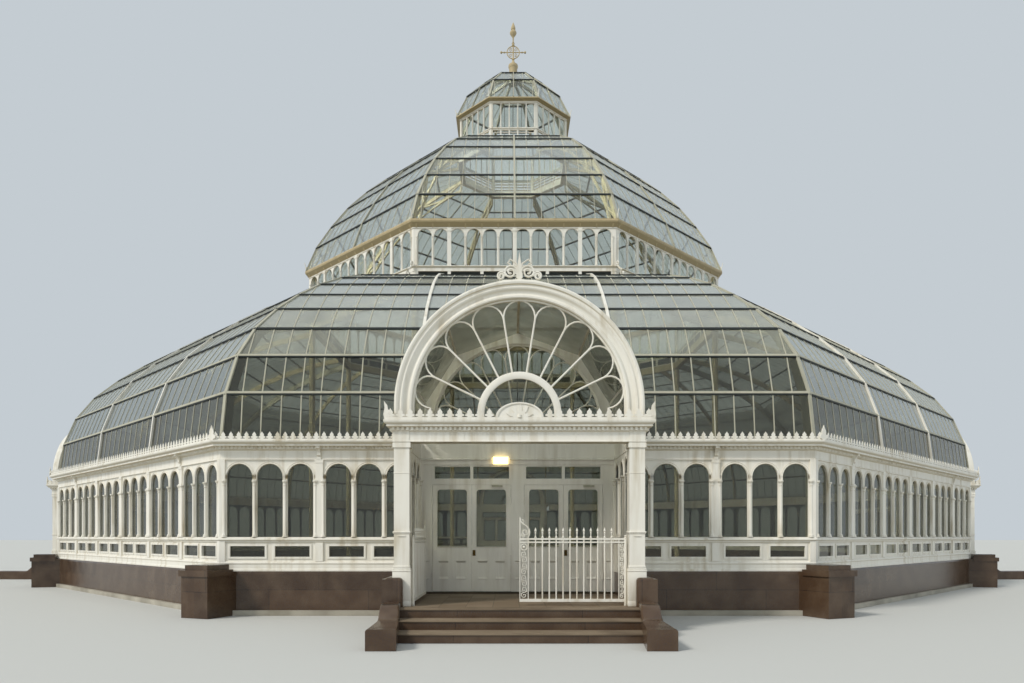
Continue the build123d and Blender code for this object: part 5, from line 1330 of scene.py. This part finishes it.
frames = bmesh.new()
for u in (-JAMB - 0.12, 0, JAMB + 0.12):
    sunk_panel(frames, u - 0.055, u + 0.055)
for left, right in HEADS:
    moulding(frames, shifted(HEAD_SECTION, WALL), left, right)
for near, far in ((-JAMB - 0.02, -JAMB), (-MULLION_HALF, -MULLION_HALF + 0.02)):
    for way in (-1, 1):
        block(frames, *sorted((way * near, way * far)), WALL - 0.005, WALL + 0.01, POST_LOW, POST_HIGH)
piece("door_frame_mouldings", frames, TIMBER, ENTRANCES)

# %% [markdown]
# Each gate leaf is drawn shut on the right, then mirrored and swung for the left one: spear-headed
# bars between rails, pierced scrollwork beside both stiles, and a scrolled bracket at the meeting end.

# %% Gates
GATE_R = PIER_FRONT - 0.131
PIVOT = PIER - 0.312
GATE_LOW, GATE_HIGH = 0.5003, 1.583
MEETING, MEETING_WIDTH = 0.0025, 0.1575
GATE_PITCH = (PIVOT - MEETING_WIDTH) / 14
LAST_BAR = MEETING_WIDTH + 13 * GATE_PITCH
SPEAR = [(0, 0.54), (0.012, 0.54), (0.012, 1.5), (0.012, GATE_HIGH), (0.02, 1.59), (0.02, 1.602),
    (0.009, 1.615), (0.009, 1.655), (0.017, 1.67), (0.009, 1.685), (0.021, 1.712), (0.012, 1.735), (0, 1.77)]
ROUND_STILE = [(0, 0.4376), (0.022, 0.4376), (0.022, 1.57), (0.026, 1.575), (0.026, 1.59), (0.012, 1.6),
    (0.022, 1.615), (0.014, 1.633), (0, 1.6335)]
BRACKET_LINE = [(0.145, 1.585), (0.168, 1.63), (0.178, 1.69), (0.165, 1.74), (0.12, 1.79), (0.06, 1.83),
    (0.02, 1.87), (0.012, 1.94)]
FLICK = [(0.05, 1.83), (0.085, 1.865), (0.065, 1.9), (0.04, 1.89)]
RING_AT = (0.08, 1.43)


def scroll_chain(bm, middle, outer, bottom, top, count):
    """S-shaped scrolls one above another, every second one mirrored."""
    height = (top - bottom) / count
    for place in range(count):
        base, size, way = bottom + place * height, height / 4, 1 if place % 2 else -1
        low = spiral((0, base + size), 0.25, -1.0, size * 0.2, size, 1, 14)
        high = spiral((0, base + 3 * size), -0.25, -1.5, size * 0.2, size, 1, 14)
        wire(bm, [(middle + way * x * outer / size, z) for x, z in high[::-1] + low[1:]], 0.0075, GATE_R)
        for side in (-1, 1):
            near = middle + side * outer
            tie = [(near, base + height * 0.42), (middle, base + height / 2), (near, base + height * 0.58)]
            wire(bm, tie, 0.006, GATE_R)


def gate_leaf():
    bm = bmesh.new()
    for low, high in ((GATE_LOW, 0.55), (1.503, 1.525), (1.555, GATE_HIGH)):
        block(bm, MEETING, PIVOT, GATE_R - 0.014, GATE_R + 0.014, low, high)
    for place in range(1, 13):
        turning(bm, SPEAR, 8, (MEETING_WIDTH + place * GATE_PITCH, GATE_R))
    for u in (MEETING, MEETING_WIDTH - 0.014, LAST_BAR):
        block(bm, u, u + 0.014, GATE_R - 0.012, GATE_R + 0.012, 0.53, 1.56)
    scroll_chain(bm, RING_AT[0], 0.054, 0.56, 1.36, 4)
    scroll_chain(bm, LAST_BAR + GATE_PITCH / 2, 0.034, 0.56, 1.5, 6)
    wire(bm, circle(RING_AT, 0.052, 20), 0.009, GATE_R, closed=True)
    boss = [(0, -0.025), (0.018, -0.015), (0.024, 0), (0.018, 0.015), (0, 0.025)]
    turning(bm, shifted(boss, 0, RING_AT[1]), 8, (RING_AT[0], GATE_R))
    wire(bm, BRACKET_LINE, 0.011, GATE_R)
    wire(bm, [(0.012, GATE_HIGH), (0.012, 1.94)], 0.009, GATE_R)
    wire(bm, spiral((0.1, 1.69), 0.1, -1.3, 0.012, 0.062, 1, 24), 0.009, GATE_R)
    wire(bm, spiral((0.055, 1.635), -0.25, 1.1, 0.01, 0.04, 1, 18), 0.007, GATE_R)
    wire(bm, FLICK, 0.008, GATE_R)
    turning(bm, ROUND_STILE, 12, (PIVOT, GATE_R))
    return bm


piece("gate_right_scrolled", gate_leaf(), IRON, body="gate_right", replaces=["right_gate"])
left_leaf = gate_leaf()
bmesh.ops.scale(left_leaf, verts=left_leaf.verts, vec=(-1, 1, 1))
hinge = {"cent": (-PIVOT, -GATE_R, 0), "matrix": turned(math.pi / 2)}
bmesh.ops.rotate(left_leaf, verts=left_leaf.verts, **hinge)
piece("gate_left_scrolled", left_leaf, IRON, body="gate_left", replaces=["left_gate"])

# %% [markdown]
# ## The view and the light
# The camera stands where the photographer stood. The floor and the light belong to the picture only.

# %% Camera
camera = bpy.data.objects.new("camera", bpy.data.cameras.new("camera"))
camera.location = (-0.181, -29.72, 1.612)
camera.rotation_euler = (math.radians(90), 0, 0)
camera.data.lens, camera.data.sensor_width = 25.7, 36
camera.data.shift_x, camera.data.shift_y = 0.0032, 0.1904
bpy.context.scene.collection.objects.link(camera)
bpy.context.scene.camera = camera
print("camera", round(-camera.location.y - PIER_FRONT, 2), "m in front of the porch")

# %% Floor and light
ground = bmesh.new()
bmesh.ops.create_grid(ground, x_segments=1, y_segments=1, size=300)
mesh = kept(ground)
mesh.materials.append(plain("pale floor", "c9c9c4", 0.9))
floor = bpy.data.objects.new("ground", mesh)
floor.location = (0, 0, -0.002)
sun = bpy.data.objects.new("sun", bpy.data.lights.new("sun", "SUN"))
sun.data.energy, sun.data.angle = 2.2, math.radians(12)
sun.data.color = (1.0, 0.96, 0.9)
sun.visible_glossy = False
sun.rotation_euler = (math.radians(48), 0, math.radians(-52))
for item in (floor, sun):
    bpy.context.scene.collection.objects.link(item)
    item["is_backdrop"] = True
world = bpy.data.worlds.new("studio")
bpy.context.scene.world = world
world.use_nodes = True
feed(world.node_tree.nodes["Background"], {"Color": srgb("c4ccd2"), "Strength": 1.0})
bpy.context.scene.view_settings.view_transform = "Standard"
print("sun", sun.data.energy)

# %% Size
low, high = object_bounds()
